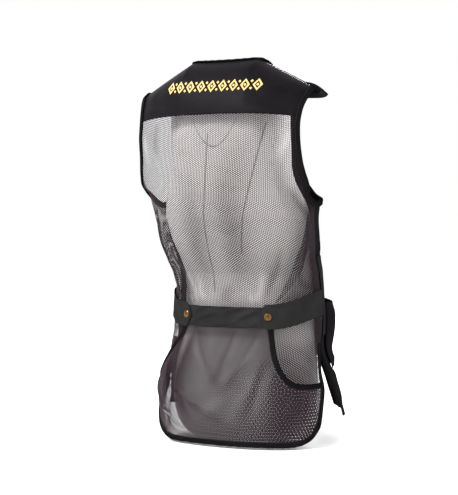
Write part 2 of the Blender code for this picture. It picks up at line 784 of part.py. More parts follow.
def hem_out(angle, height):
    """Over the pouch as far as it reaches, then down onto the mesh."""
    over_pouch = 1 - smooth((height - MOUTH_LOW - 4 * MM) / (14 * MM))
    return CLEAR + (CLEAR + MESH_THICK + 0.4 * MM) * over_pouch


def mouth_path(side):
    """Along the mouth, from the belt out to where it meets the hem's tape."""
    path = []
    for column in range(POUCH_MID_COLUMNS + 2, POUCH_MID_COLUMNS + POUCH_SIDE_COLUMNS):
        angle = side * pouch_angle(column)
        path.append((angle, mouth_height(angle)))
    return path


def disc(name, look, centre, normal, profile, segments=18):
    """A turned piece on the cloth. The profile rows are radius and height."""
    mesh = bmesh.new()
    turn = normal.to_track_quat("Z", "Y").to_matrix()
    rings = []
    for radius, level in profile:
        ring = []
        for i in range(segments):
            a = 2 * math.pi * i / segments
            spot = Vector((radius * math.cos(a), radius * math.sin(a), level))
            ring.append(mesh.verts.new(centre + turn @ spot))
        rings.append(ring)
    for low, high in zip(rings, rings[1:]):
        for i in range(segments):
            n = (i + 1) % segments
            mesh.faces.new([low[i], low[n], high[n], high[i]])
    mesh.faces.new(rings[0][::-1])
    mesh.faces.new(rings[-1])
    return finish(name, mesh, look)


def ring_body(mesh, rings):
    """Closes a stack of rings, each a list of points, into a solid."""
    made = [[mesh.verts.new(p) for p in ring] for ring in rings]
    count = len(made[0])
    for low, high in zip(made, made[1:]):
        for i in range(count):
            n = (i + 1) % count
            mesh.faces.new([low[i], low[n], high[n], high[i]])
    mesh.faces.new(made[0][::-1])
    mesh.faces.new(made[-1])


def torso_form(look):
    """A smooth whole torso with a short neck, standing on its flat base. The vest rests
    on its shoulders, which sink towards the neck, below the neckline."""
    angles = [i * 12 for i in range(-14, 16)]
    mesh = bmesh.new()
    rings = []
    for level in FORM_LEVELS:
        share = max(0.0, (level * MM - LEAN_START) / (NECK_HEIGHT - LEAN_START))
        ring = []
        for angle in angles:
            point = ring_point(FORM_SECTIONS, angle, level * MM, FORM_SHOULDER_DROP, 0.0, False)
            by_neck = 1 - smooth((abs(point.x) - FORM_NECK[0][1] * MM) / (30 * MM))
            point.z -= FORM_NECK_SINK * by_neck * share**6
            ring.append(point)
        rings.append(ring)
    ring_body(mesh, rings)
    body = finish("torso_form", mesh, look)
    neck_mesh = bmesh.new()
    rings = []
    for level, half, depth in FORM_NECK:
        ring = []
        for i in range(32):
            a = 2 * math.pi * i / 32
            y = FORM_NECK_Y + depth * MM * math.sin(a)
            ring.append(Vector((half * MM * math.cos(a), y, level * MM + HEM_LIFT)))
        rings.append(ring)
    ring_body(neck_mesh, rings)
    neck = finish("form_neck", neck_mesh, look)
    join = body.modifiers.new("neck", "BOOLEAN")
    join.operation = "UNION"
    join.solver = "EXACT"
    join.object = neck
    shape = bpy.data.meshes.new_from_object(body.evaluated_get(bpy.context.evaluated_depsgraph_get()))
    body.modifiers.clear()
    body.data = shape
    shape.name = "torso_form"
    bpy.data.objects.remove(neck, do_unlink=True)
    return body


def box(mesh, low, high, bevel):
    """Adds a box with rounded edges, between two corners."""
    made = bmesh.ops.create_cube(mesh, size=1.0)["verts"]
    size = Vector(high) - Vector(low)
    bmesh.ops.scale(mesh, vec=size, verts=made)
    bmesh.ops.translate(mesh, vec=(Vector(high) + Vector(low)) / 2, verts=made)
    if bevel:
        edges = list({edge for vert in made for edge in vert.link_edges})
        bmesh.ops.bevel(mesh, geom=edges, offset=bevel, segments=2, profile=0.5, affect="EDGES")


def combined(name, look, boxes, operation, turn, place):
    """The first box, with the others joined to it or cut from it, turned and placed.
    Each entry is the low corner, the high corner and the bevel."""
    parts = []
    for i, (low, high, bevel) in enumerate(boxes):
        mesh = bmesh.new()
        box(mesh, low, high, bevel)
        parts.append(finish(name if i == 0 else name + "_tool", mesh, look))
    body = parts[0]
    for tool in parts[1:]:
        join = body.modifiers.new(tool.name, "BOOLEAN")
        join.operation = operation
        join.solver = "EXACT"
        join.object = tool
    shape = bpy.data.meshes.new_from_object(body.evaluated_get(bpy.context.evaluated_depsgraph_get()))
    body.modifiers.clear()
    body.data = shape
    shape.name = name
    shape.transform(turn.to_4x4())
    body.location = place
    for tool in parts[1:]:
        bpy.data.objects.remove(tool, do_unlink=True)
    return body


def zip_strip(name, look, side, edges, thick, out, top):
    """A strip beside a front's edge, on the front's own rows. edges are how far it
    lies from the edge at its two sides."""
    count = FRONT_LOW_ROWS + len(SIDE_LEVELS) - 1 + FRONT_HIGH_ROWS
    heights = [front_height(row) for row in range(count) if front_height(row) < top - 5 * MM]
    heights[0] += 3 * MM
    outer, inner = [], []
    for height in heights + [top]:
        spots = [side * front_angle(ZIP_HALF_GAP + edge, height) for edge in edges]
        outer.append([vest_point(a, height, out) for a in spots])
        inner.append([vest_point(a, height, out - thick) for a in spots])
    return wall(name, look, outer, inner)


def zip_half(side, word, tape_look, metal):
    """One side of the open zip: its tape behind the front's edge, and its teeth."""
    top = V_NECK_HEIGHT - 2 * MM
    behind = -TWILL_THICK - CLEAR
    across = (-ZIP_TAPE_OUTER, ZIP_TAPE_INNER / 4, ZIP_TAPE_INNER)
    zip_strip("zip_tape_" + word, tape_look, side, across, ZIP_TAPE_THICK, behind, top)
    teeth = (-TEETH_OUTER - TEETH_WIDTH, -TEETH_OUTER)
    lift = behind + CLEAR + TEETH_THICK
    zip_strip("zip_teeth_" + word, metal, side, teeth, TEETH_THICK, lift, top - 3 * MM)


def slider_and_pull(metal):
    """The slider rests at the foot of the right front's teeth. The pull's crossbar runs
    through the tunnel of its bridge, and is the origin of both pieces."""
    middle = ZIP_HALF_GAP - TEETH_OUTER - TEETH_WIDTH / 2
    angle = -front_angle(middle, SLIDER_HEIGHT)
    spot = vest_point(angle, SLIDER_HEIGHT)
    normal = (vest_point(angle, SLIDER_HEIGHT, 10 * MM) - spot).normalized()
    across = Vector((0, 0, 1)).cross(normal).normalized()
    turn = Matrix((across, -normal, normal.cross(across))).transposed()
    if turn.determinant() < 0:
        turn = Matrix((-across, -normal, normal.cross(across))).transposed()
    wide, deep, tall = (size / 2 for size in SLIDER_SIZE)
    rest = -TWILL_THICK + TEETH_THICK + 2 * SEAM + 2 * deep + TUNNEL / 2
    hinge = vest_point(angle, SLIDER_HEIGHT, rest)
    face = TUNNEL / 2
    bridge, top = BRIDGE_WIDTH / 2, BRIDGE_HALF_HEIGHT
    outer = -face - BRIDGE_THICK
    combined("zip_slider", metal, (
        ((-wide, face, -tall), (wide, face + 2 * deep, tall), 0.9 * MM),
        ((-bridge, outer, top - BRIDGE_THICK), (bridge, face + deep, top), 0.0),
        ((-bridge, outer, -top), (bridge, face + deep, -top + BRIDGE_THICK), 0.0),
        ((-bridge, outer, -top), (bridge, -face, top), 0.0),
    ), "UNION", turn, hinge)
    thick = PULL_THICK / 2
    combined("zip_pull", metal, (
        ((-PULL_WIDTH / 2, -thick, -PULL_BELOW), (PULL_WIDTH / 2, thick, PULL_ABOVE), 0.5 * MM),
        ((-SLOT_WIDTH / 2, -PULL_THICK, -SLOT_LOW), (SLOT_WIDTH / 2, PULL_THICK, -PULL_ABOVE), 0.0),
    ), "DIFFERENCE", turn, hinge)


def clear_scene():
    for old in list(bpy.data.objects):
        bpy.data.objects.remove(old, do_unlink=True)


def main():
    clear_scene()
    net = material("black_net", (0.045, 0.04, 0.043), 0.8)
    twill = material("black_twill", (0.035, 0.033, 0.036), 0.75)
    grey = material("grey_twill", (0.055, 0.06, 0.06), 0.8)
    tape_look = material("black_tape", (0.02, 0.019, 0.02), 0.6)
    pad_look = material("black_suede", (0.03, 0.029, 0.03), 0.9)
    bronze = material("bronze", (0.28, 0.17, 0.07), 0.35, 1.0)
    form_look = material("pale_form", (0.72, 0.69, 0.66), 0.6)

    side_rows = len(SIDE_LEVELS) - 1
    back_rows = BACK_LOW_ROWS + side_rows + BACK_HIGH_ROWS
    panel("back_mesh", net, back_mesh_place, BACK_COLUMNS, back_rows, MESH_THICK)
    panel("back_yoke", twill, yoke_place, YOKE_COLUMNS, YOKE_ROWS, TWILL_THICK)
    pouch_columns = 2 * (POUCH_MID_COLUMNS + POUCH_SIDE_COLUMNS)
    panel("pouch", net, pouch_place, pouch_columns, POUCH_ROWS, MESH_THICK)
    patch("belt_centre", grey, belt_place, 12, 4, TWILL_THICK)
    tape("neck_binding", tape_look, neck_path(), lambda a, h: NECK_TAPE_LIFT, 1)
    tape("hem_binding", tape_look, hem_path(), hem_out, -1)
    outer = [[pad_point(c / 10, r / 10) for c in range(11)] for r in range(11)]
    wall("butt_pad", pad_look, outer, thickened(outer, PAD_THICK))
    for side, word in ((-1, "right"), (1, "left")):
        rows = FRONT_LOW_ROWS + side_rows + FRONT_HIGH_ROWS
        panel("front_" + word, twill, front_place(side), FRONT_COLUMNS, rows, TWILL_THICK)
        patch("waist_panel_" + word, grey, waist_place(side), 3, 8, TWILL_THICK)
        patch("belt_tab_" + word, grey, tab_place(side, side < 0), 14, 4, TWILL_THICK)
        walls = []
        for inset in (0.0, TWILL_THICK):
            place = pocket_place(side, inset)
            grid = []
            for r in range(POCKET_ROWS + 1):
                row = [place(c / POCKET_COLUMNS, r / POCKET_ROWS) for c in range(POCKET_COLUMNS + 1)]
                grid.append([vest_point(*spot) for spot in row])
            walls.append(grid)
        wall("pocket_" + word, twill, *walls)
        tape("armhole_binding_" + word, tape_look, armhole_path(side), armhole_out, -side, closed=True)
        tape("mouth_binding_" + word, tape_look, mouth_path(side),
             lambda a, h: pouch_out(a, h) + TAPE_LIFT, side)
        angle, height = side * SNAP_ANGLE, BELT_HEIGHT + 2 * MM
        rest = belt_out(angle, height) + CLEAR + TWILL_THICK + SEAM
        centre = vest_point(angle, height, rest + 0.5 * MM)
        normal = (vest_point(angle, height, 10 * MM) - vest_point(angle, height)).normalized()
        disc("snap_" + word, bronze, centre, normal, SNAP_CAP)
        zip_half(side, word, tape_look, bronze)
    slider_and_pull(bronze)
    torso_form(form_look)


main()
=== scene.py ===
import math

import bmesh
import bpy
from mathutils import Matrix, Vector


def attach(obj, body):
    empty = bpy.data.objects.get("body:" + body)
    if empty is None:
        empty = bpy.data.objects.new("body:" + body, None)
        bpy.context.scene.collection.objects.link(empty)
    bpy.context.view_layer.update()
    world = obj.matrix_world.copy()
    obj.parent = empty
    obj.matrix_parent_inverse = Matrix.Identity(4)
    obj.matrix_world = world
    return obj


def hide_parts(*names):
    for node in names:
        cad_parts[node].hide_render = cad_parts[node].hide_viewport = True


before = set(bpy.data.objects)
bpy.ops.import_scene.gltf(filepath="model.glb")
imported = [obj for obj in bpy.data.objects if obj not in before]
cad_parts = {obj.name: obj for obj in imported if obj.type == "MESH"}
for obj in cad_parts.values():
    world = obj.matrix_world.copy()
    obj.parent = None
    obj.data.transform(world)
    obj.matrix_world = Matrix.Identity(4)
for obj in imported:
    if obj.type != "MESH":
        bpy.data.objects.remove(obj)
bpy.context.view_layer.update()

# A sleeveless shooting vest of mesh and twill on a limbless torso form, seen from
# behind. The wearer's front faces -Y and the wearer's right side is -X. Each cloth
# piece is a fine shell on the form of its solid, with its creases given one by one.

MM = 0.001
BODY = "root"
SIDES = ((-1, "right"), (1, "left"))

# Heights of the vest, from its lowest edge, which hangs this far over the floor
HEM_LIFT = 5 * MM
ARMPIT = 478 * MM
LEAN_START = 490 * MM
NECK_HEIGHT = 760 * MM
YOKE_HEIGHT = 649 * MM
YOKE_DROP = 9 * MM
YOKE_REACH = 54.0
VENT_TOP = 199 * MM
BELT_HEIGHT = 250 * MM
V_NECK_HEIGHT = 575 * MM
FRONT_HEM = 46 * MM
CORNER_RISE = 5 * MM

# The fronts hang open: how each swings about its side seam, in degrees
SWING = 25.0
SWING_TOP = 490 * MM
SWING_FULL = 190 * MM
SWING_FLATNESS = 0.7
FRONT_LEAN = 0.22

# Shoulders and neck
NECK_HALF_WIDTH = 72 * MM
SHOULDER_SLOPE = 0.53
RIDGE_Y = 52 * MM
BACK_NECK_DROP = 2 * MM
SHOULDER_FULLNESS = 4.0
SHOULDER_ROUNDNESS = 0.54

# Cloth
MESH_THICK = 1.5 * MM
TWILL_THICK = 2.0 * MM
SHELL = 1.2 * MM
SEAM = 0.3 * MM
CLEAR = 0.9 * MM
TAPE_LIFT = 2.0 * MM
TAPE_RIPPLE = 0.25 * MM
TAPE_NARROWER = 0.85
NECK_TAPE_LIFT = 2.6 * MM

# Angles round the body, in degrees from mid back; 180 is mid front
SIDE = 90.0
HEM_END = 88.4
SNAP_ANGLE = 31.5
VENT_OPENING = 17.0

# The share of a panel's length that each stretch of it takes
BACK_STRETCHES = (5, 11, 9)
BACK_ROW_GROWTH = 1.2
FRONT_STRETCHES = (5, 11, 18)
YOKE_NECK_SHARE = 5 / 12
POUCH_MID_SHARE = 6 / 16

# Belt, snaps and pouch
BELT_WIDTH = 43 * MM
BELT_LIFT = 1.3 * MM
TAB_WIDTH = 51 * MM
TAB_RISE = 26 * MM
HEM_CORNER_TOP = 96 * MM
HEM_CORNER_RIGHT = (44.0, 2.6, 0.45)
HEM_CORNER_LEFT = (32.0, 1.6, 0.85)
POUCH_GAP = 20 * MM
POUCH_TOP = 240 * MM
MOUTH_LOW = 120 * MM
MOUTH_START = 35.0
MOUTH_END = 87.6
MOUTH_PLUNGE_RIGHT = 9.0
MOUTH_PLUNGE_LEFT = 3.0

# Zip
ZIP_HALF_GAP = 7 * MM
ZIP_TAPE_INNER = 12 * MM
ZIP_TAPE_OUTER = 5.5 * MM
ZIP_TAPE_THICK = 0.8 * MM
TEETH_OUTER = 1.6 * MM
TEETH_WIDTH = 3.4 * MM
TOOTH_PITCH = 3.2 * MM
TOOTH_SIZE = (3.4 * MM, 1.5 * MM, 1.7 * MM)

# One row for each section of the cloth: its height, half width, depth behind and in
# front of its middle, the middle's own y, and the squareness of each half.
SECTIONS = (
    (0, 180, 120, 148, -14, 2.3, 2.2),
    (100, 178, 117, 136, -16, 2.3, 2.2),
    (170, 168, 106, 122, -24, 2.2, 2.2),
    (225, 166, 103, 110, -33, 2.1, 2.2),
    (255, 165, 103, 106, -36, 2.1, 2.2),
    (300, 161, 107, 104, -36, 2.1, 2.2),
    (335, 159, 111, 104, -32, 2.1, 2.2),
    (365, 160, 114, 106, -17, 2.2, 2.2),
    (400, 166, 117, 108, -2, 2.4, 2.3),
    (450, 170, 122, 100, 13, 2.6, 2.4),
    (490, 178, 127, 96, 18, 2.6, 2.6),
    (520, 196, 126, 92, 17, 2.6, 2.6),
    (600, 208, 117, 84, 20, 2.6, 2.6),
    (640, 211, 119, 84, 22, 2.6, 2.6),
    (772, 212, 121, 84, 22, 2.6, 2.6),
)

# Edge of each armhole: height up the ring, and the angle round from mid back or mid
# front.
ARMHOLE_COLUMNS = ("height", "back_angle", "front_angle")
ARMHOLE = (
    (478, 90.0, 90.0),
    (483, 86.0, 74.0),
    (491, 81.0, 54.0),
    (503, 75.5, 41.0),
    (520, 69.5, 31.5),
    (548, 62.5, 24.5),
    (580, 57.5, 21.6),
    (620, 54.5, 20.4),
    (662, 53.5, 22.0),
    (686, 54.0, 25.0),
    (706, 55.0, 29.5),
    (726, 57.0, 37.0),
    (760, 61.0, 61.0),
)

# Take-up pleats from the armholes down to the tabs' tips: height and angle
PLEAT = ((272, 37.2), (300, 46.0), (350, 62.0), (402, 74.0), (462, 81.0))
PLEAT_RISE = 5 * MM
PLEAT_HALF_WIDTH = 20 * MM
PLEAT_FOLD = 26 * MM

# Big drape folds of the pouch, as its solid has them: upper and lower ends as angle
# and height, and rise.
POUCH_FOLDS = (
    (-30, 225, 8, 40, 4.0),
    (-36, 190, -16, 25, 3.5),
    (30, 222, -18, 120, 4.5),
    (33, 205, 2, 60, 4.0),
    (-48, 150, -40, 40, 3.0),
    (42, 130, 26, 30, 3.5),
    (60, 105, 44, 25, 3.0),
)
FOLD_HALF_WIDTH = 17 * MM
FOLD_RADIUS = 150 * MM
FOLD_BEND = 0.8

# Creases, listed one by one. A row holds the angle and height of one end, the same of the
# other end, the half width, the rise (a trough where it is negative) and the sign of
# the steeper, narrower side.
BACK_CREASES = (
    (-8, 300, -12, 610, 22, -2.0, 1),
    (14, 290, 9, 560, 18, -1.8, -1),
    (30, 283, 52, 400, 8, -2.6, 1),
    (22, 280, 34, 350, 6, 2.4, -1),
    (18, 279, 22, 330, 5, 2.0, 1),
    (-30, 283, -50, 390, 8, -2.6, -1),
    (-22, 280, -32, 345, 6, 2.2, 1),
    (-60, 330, -84, 300, 8, -2.2, 1),
    (62, 330, 85, 296, 8, -2.2, -1),
    (-84, 440, -52, 520, 10, -2.4, 1),
    (84, 440, 50, 530, 10, -2.4, -1),
    (-44, 646, -38, 560, 9, 1.6, 1),
    (-27, 652, -25, 590, 8, -1.5, 1),
    (12, 655, 13, 600, 8, 1.3, -1),
    (33, 651, 31, 570, 9, -1.6, 1),
    (46, 645, 40, 555, 8, 1.5, 1),
    (-20, 276, -19, 300, 4, 2.4, 1),
    (-26, 276, -26, 304, 4, 2.6, -1),
    (24, 277, 26, 306, 4, 3.0, 1),
    (29, 278, 33, 300, 3.5, 2.6, -1),
    (0, 278, -3, 320, 9, -1.6, 1),
)
POUCH_CREASES = (
    (-31, 232, -6, 112, 6, 5.6, 1),
    (-24, 232, -2, 60, 6, -4.6, -1),
    (-15, 232, -3, 150, 5, 3.2, 1),
    (-8, 230, 4, 90, 5, -3.4, -1),
    (29, 230, 2, 124, 6, 5.4, -1),
    (22, 230, -6, 96, 6, -5.0, 1),
    (13, 232, 3, 170, 5, 3.2, -1),
    (34, 216, 12, 66, 6, 4.4, -1),
    (-42, 176, -24, 52, 7, 5.2, 1),
    (-33, 176, -14, 40, 6, -4.6, -1),
    (-24, 140, -6, 30, 6, 4.0, 1),
    (43, 170, 22, 44, 6, 5.4, -1),
    (34, 150, 10, 34, 6, -5.0, 1),
    (54, 124, 34, 36, 6, 4.6, -1),
    (47, 100, 24, 26, 5, -4.0, 1),
    (-56, 118, -40, 32, 6, 4.2, 1),
    (-14, 110, 14, 44, 7, 3.6, 1),
    (22, 100, -10, 30, 6, -3.6, -1),
    (62, 100, 54, 40, 5, -3.2, 1),
    (-66, 104, -58, 34, 5, -3.0, -1),
)
YOKE_CREASES = (
    (-44, 724, -16, 664, 12, -2.4, 1),
    (-36, 738, -22, 700, 8, 1.6, -1),
    (40, 728, 16, 664, 12, -2.6, -1),
    (48, 712, 30, 672, 8, 1.8, 1),
    (-20, 746, -4, 700, 8, -1.8, 1),
    (22, 746, 6, 696, 8, 1.8, -1),
    (-50, 676, -28, 656, 7, 1.6, 1),
    (50, 676, 26, 656, 7, 1.6, 1),
)
BELT_CREASES = (
    (-28, 268, -4, 242, 5, 6.5, 1),
    (-16, 275, 6, 254, 4, 5.0, -1),
    (2, 264, 26, 236, 5, 6.5, 1),
    (10, 275, 30, 256, 4, 5.0, -1),
    (-12, 242, 10, 230, 4, 4.5, 1),
    (-27, 248, -16, 230, 4, 4.0, -1),
    (20, 244, 30, 230, 4, 4.0, 1),
    (-8, 276, 8, 268, 3, 4.0, 1),
)
FRONT_CREASES = (
    (172, 300, 130, 420, 14, -5.0, 1),
    (160, 120, 150, 330, 13, 4.4, -1),
    (120, 300, 150, 460, 14, -4.6, 1),
    (130, 90, 118, 240, 13, 4.6, 1),
    (174, 90, 170, 260, 9, -3.4, -1),
    (112, 400, 132, 330, 8, 3.6, 1),
    (166, 330, 158, 420, 9, 3.4, 1),
    (140, 60, 132, 134, 9, 3.6, -1),
)

# Front pockets, side panels and the shoulder pad
POCKET_ANGLES = (112.0, 160.0)
POCKET_HEIGHTS = (142 * MM, 276 * MM)
POCKET_DEPTH = 18 * MM
POCKET_LIFT = 1.6 * MM
POCKET_SEAM = 12 * MM
WAIST_ANGLES = (90.6, 107.0)
WAIST_HEIGHTS = (212 * MM, 372 * MM)
PAD_THICK = 2.5 * MM
PAD_LIFT = 5.2 * MM
PAD_DROP = 14 * MM
PAD_LEAVE = 0.45
PAD_OVERHANG = 24.0
PAD_ARCH = 6 * MM
PAD_CUT = (110 * MM, 190 * MM)
PAD_FALL = 40 * MM
PAD_LOW = 560 * MM
PAD_WIDEST = 716 * MM
PAD_INNER_X = (88 * MM, 96 * MM)
PAD_CORNER = (-196 * MM, 5 * MM, 695 * MM)

# Embroidered band on the yoke: a plain geometric row
BAND_MIDDLE = 55 * MM
BAND_COUNT = 9
BAND_STEP = 24 * MM
BAND_SIZE = (9.5 * MM, 12 * MM)
BAND_STROKE = 4.2 * MM
BAND_DOT = 3 * MM
BAND_LIFT = 0.7 * MM

# Faint lines on the form's back: where each starts across, its lowest height, its
# slant, its bend and its top. The bent one is a shallow U.
FORM_SEAMS = (
    (0.0, 0.592, 0.0, 23.0, 0.65),
    (-0.043, 0.38, -0.24, 0.0, 0.64),
    (0.035, 0.3, -0.07, 0.0, 0.62),
)

FORM_SEAM_WIDTH = 2.2 * MM
FORM_SEAM_REACH = 0.12
FORM_SEAM_BEHIND = 0.04

# Height step of the kept lengths round the cloth
ARC_STEP = 4 * MM

# Net and weave
NET_PITCH = 4.1 * MM
NET_HOLE = 0.365
NET_SLANT_LOSS = 0.12
# How much the holes shrink per unit of the net's density attribute, which holds real gathering and
# painted shade
NET_GATHER_AND_SHADE_LOSS = 0.09
NET_SMALLEST = 0.12
NET_EDGE = 25.0
NET_ROUND = 5.0
# Pouch net density: a small even amount, and painted shade towards its corners
POUCH_DENSER = 0.1
CORNER_DENSER_RIGHT = 1.2
CORNER_DENSER_LEFT = 2.6
POUCH_TURN = math.radians(30)
POUCH_FINER = 1.15
TWILL_PITCH = 1.1 * MM
TAPE_RIB = 0.9 * MM

# Stitches
STITCH = (2.5 * MM, 0.55 * MM, 0.4 * MM)
STITCH_STEP = 3.6 * MM
TAB_BORDER = (
    (0.02, 0.08), (0.5, 0.08), (0.9, 0.1), (0.985, 0.5), (0.9, 0.9), (0.5, 0.92), (0.02, 0.92),
)

# Camera: its turn behind the vest, its distance, its focal length in pixels on the
# long side, and the picture's own middle.
CAMERA_TURN = math.radians(28)
CAMERA_DISTANCE = 2.75
CAMERA_HEIGHT = 0.464
CAMERA_FOCAL = 1351.5
FRAME_LONG = 495
FRAME_MIDDLE = (229, 247.5)
AXIS_AT = (241, 212)
SENSOR = 36.0

# Lights: name, place, aim, size in metres and power in watts
LIGHTS = (
    ("key", (1.5, 2.6, 2.8), (0, 0, 0.45), 1.2, 200.0),
    ("side", (-2.8, 1.2, 1.6), (0, 0, 0.4), 1.6, 36.0),
    ("front", (0.8, -3.0, 1.5), (0, 0, 0.4), 1.0, 70.0),
)


def curve_value(rows, column, at):
    """A smooth value read from a table whose first column rises, by cubic pieces."""
    if at <= rows[0][0]:
        return rows[0][column]
    if at >= rows[-1][0]:
        return rows[-1][column]
    index = max(i for i, row in enumerate(rows[:-1]) if row[0] <= at)

    def slope(i):
        if i in (0, len(rows) - 1):
            return 0.0
        before = (rows[i][column] - rows[i - 1][column]) / (rows[i][0] - rows[i - 1][0])
        after = (rows[i + 1][column] - rows[i][column]) / (rows[i + 1][0] - rows[i][0])
        return 0.0 if before * after <= 0 else 2 * before * after / (before + after)

    low, high = rows[index], rows[index + 1]
    span = high[0] - low[0]
    t = (at - low[0]) / span
    return (
        (2 * t**3 - 3 * t**2 + 1) * low[column]
        + (t**3 - 2 * t**2 + t) * span * slope(index)
        + (3 * t**2 - 2 * t**3) * high[column]
        + (t**3 - t**2) * span * slope(index + 1)
    )


def blend(low, high, t):
    return low + (high - low) * t


def smooth(t):
    t = min(1.0, max(0.0, t))
    return t * t * (3 - 2 * t)


def shoulder_height(x):
    """Height of the shoulder ridge over x, level across the neck."""
    return NECK_HEIGHT - SHOULDER_SLOPE * max(0.0, abs(x) - NECK_HALF_WIDTH)


def section(height):
    """The section's values at a height, kept so that each is worked out once."""
    key = round(height / MM, 3)
    if key not in SECTION_STORE:
        SECTION_STORE[key] = [curve_value(SECTIONS, i, key) for i in range(1, 7)]
    return SECTION_STORE[key]


SECTION_STORE = {}


def swung(x, y, half, depth, middle, height):
    """Where a point of an open front lies once it has swung out and grown flatter."""
    share = 1 - smooth((height - SWING_FULL) / (SWING_TOP - SWING_FULL))
    side = math.copysign(1.0, x)
    across, ahead = half - abs(x), middle - y
    along = 0.5 * (across / half + ahead / depth)
    across = blend(across, along * half, share * SWING_FLATNESS)
    ahead = blend(ahead, along * depth, share * SWING_FLATNESS)
    turn = math.radians(SWING * share)
    moved = across * math.cos(turn) - ahead * math.sin(turn)
    forward = across * math.sin(turn) + ahead * math.cos(turn)
    lean = FRONT_LEAN * max(0.0, VENT_TOP - height) * smooth((VENT_TOP - height) / (50 * MM))
    return side * (half - moved + lean), middle - forward


def ring_point(angle, height):
    """A point of a ring. The angle runs from mid back, 0, to mid front, 180, and is
    negative on the wearer's right. Above the armpit the rings lean onto the ridge."""
    half, back, front, middle, back_square, front_square = section(height)
    half, middle = half * MM, middle * MM
    if abs(angle) <= SIDE:
        facing, depth, power = 1, back * MM, 2 / back_square
    else:
        facing, depth, power = -1, front * MM, 2 / front_square
    turn = math.radians(angle)
    x = math.copysign(half * abs(math.sin(turn)) ** power, math.sin(turn))
    y = middle + facing * depth * abs(math.cos(turn)) ** power
    if facing < 0 and height < SWING_TOP:
        x, y = swung(x, y, half, depth, middle, height)
    z = height
    if height > LEAN_START:
        share = min(1.0, (height - LEAN_START) / (NECK_HEIGHT - LEAN_START))
        z = blend(LEAN_START, shoulder_height(x), share)
        y = blend(RIDGE_Y, y, (1 - share**SHOULDER_FULLNESS) ** SHOULDER_ROUNDNESS)
    return Vector((x, y + facing * SEAM / 2, z + HEM_LIFT))


def vest_point(angle, height, out=0.0):
    """A point of the vest's outer cloth, moved out along the cloth's own normal."""
    step_angle, step_height = 0.4, 0.4 * MM
    base = ring_point(angle, height)
    if out == 0.0:
        return base
    middle = min(height, NECK_HEIGHT - 2 * step_height)
    first, last = angle - step_angle, angle + step_angle
    if abs(angle) <= SIDE:
        first, last = max(first, -SIDE), min(last, SIDE)
    elif angle > 0:
        first, last = max(first, SIDE + 0.001), min(last, 179.999)
    else:
        first, last = max(first, -179.999), min(last, -SIDE - 0.001)
    across = ring_point(last, middle) - ring_point(first, middle)
    upward = ring_point(angle, middle + step_height) - ring_point(angle, middle - step_height)
    normal = upward.cross(across)
    if abs(angle) <= SIDE:
        normal.negate()
    normal.normalize()
    if height > NECK_HEIGHT - 3 * step_height or abs(abs(angle) - SIDE) < 0.01:
        normal.y = 0.0
        normal.normalize()
    outward = base - Vector((0.0, section(height)[3] * MM, base.z))
    if height > NECK_HEIGHT - 40 * MM:
        outward = Vector((0.0, 0.0, 1.0))
    if normal.dot(outward) < 0:
        normal.negate()
    return base + normal * out


def height_at(angle, z):
    """The ring height whose point over this angle stands z over the hem."""
    if z <= LEAN_START:
        return z
    height = z
    for _ in range(6):
        top = shoulder_height(ring_point(angle, height).x)
        height = LEAN_START + (z - LEAN_START) / (top - LEAN_START) * (NECK_HEIGHT - LEAN_START)
    return height


def armhole_angle(height, side="back"):
    return curve_value(ARMHOLE, ARMHOLE_COLUMNS.index(side + "_angle"), height / MM)


def angle_over(x, height, side):
    """The angle from mid back or mid front at which a ring passes over x."""
    half, _, _, _, back_square, front_square = section(height)
    power = (back_square if side == "back" else front_square) / 2
    return math.degrees(math.asin(min(1.0, (abs(x) / (half * MM)) ** power)))


def front_angle(x, height):
    return math.copysign(180 - angle_over(x, height, "front"), x)


def pleat_rise(angle, height):
    """The take-up pleat stands out as a soft ridge."""
    low, high = PLEAT[0][0] * MM, PLEAT[-1][0] * MM
    if not low < height < high:
        return 0.0
    away = math.radians(abs(angle) - curve_value(PLEAT, 1, height / MM)) * FOLD_RADIUS
    ends = math.sin(math.pi * (height - low) / (high - low)) ** 0.5
    return PLEAT_RISE * ends * math.exp(-((away / PLEAT_HALF_WIDTH) ** 2))


def pouch_fold_rise(angle, height):
    """Sum of the pouch's big slanted drape folds at a place."""
    rise = 0.0
    for top_angle, top_height, low_angle, low_height, size in POUCH_FOLDS:
        t = (top_height - height / MM) / (top_height - low_height)
        if 0 < t < 1:
            away = math.radians(angle - blend(top_angle, low_angle, t**FOLD_BEND)) * FOLD_RADIUS
            rise += size * MM * math.sin(math.pi * t) * math.exp(-((away / FOLD_HALF_WIDTH) ** 2))
    return rise


def crease_rise(creases, angle, height, side=1):
    """Sum of the listed creases at a place. Each swells in its middle, wanders a
    little, and is steeper on one side."""
    rise = 0.0
    here = Vector((math.radians(angle * side) * FOLD_RADIUS, height))
    for angle_1, height_1, angle_2, height_2, half_width, size, steep in creases:
        first = Vector((math.radians(angle_1) * FOLD_RADIUS, height_1 * MM))
        along = Vector((math.radians(angle_2) * FOLD_RADIUS, height_2 * MM)) - first
        length = along.length
        along = along / length
        reach = (here - first).dot(along)
        t = reach / length
        if not 0 < t < 1:
            continue
        away = (here - first).dot(Vector((along.y, -along.x)))
        away -= 0.35 * half_width * MM * math.sin(5.0 * t + angle_1)
        width = half_width * MM * (0.75 if away * steep > 0 else 1.35)
        if abs(away) < 3 * width:
            rise += size * MM * math.sin(math.pi * t**0.8) * math.exp(-((away / width) ** 2))
    return rise


def hem_height(angle):
    """The back hem is level, and its corners round up to the side vents."""
    start, curl, swing = HEM_CORNER_RIGHT if angle < 0 else HEM_CORNER_LEFT
    t = min(1.0, max(0.0, (abs(angle) - start) / (HEM_END - start)))
    return HEM_CORNER_TOP * (1 - (1 - t**curl) ** swing)


def yoke_height(angle):
    """Height of the yoke's lower edge, a little lower at the armholes."""
    share = min(1.0, abs(angle) / YOKE_REACH)
    return height_at(angle, YOKE_HEIGHT - YOKE_DROP * share**2)


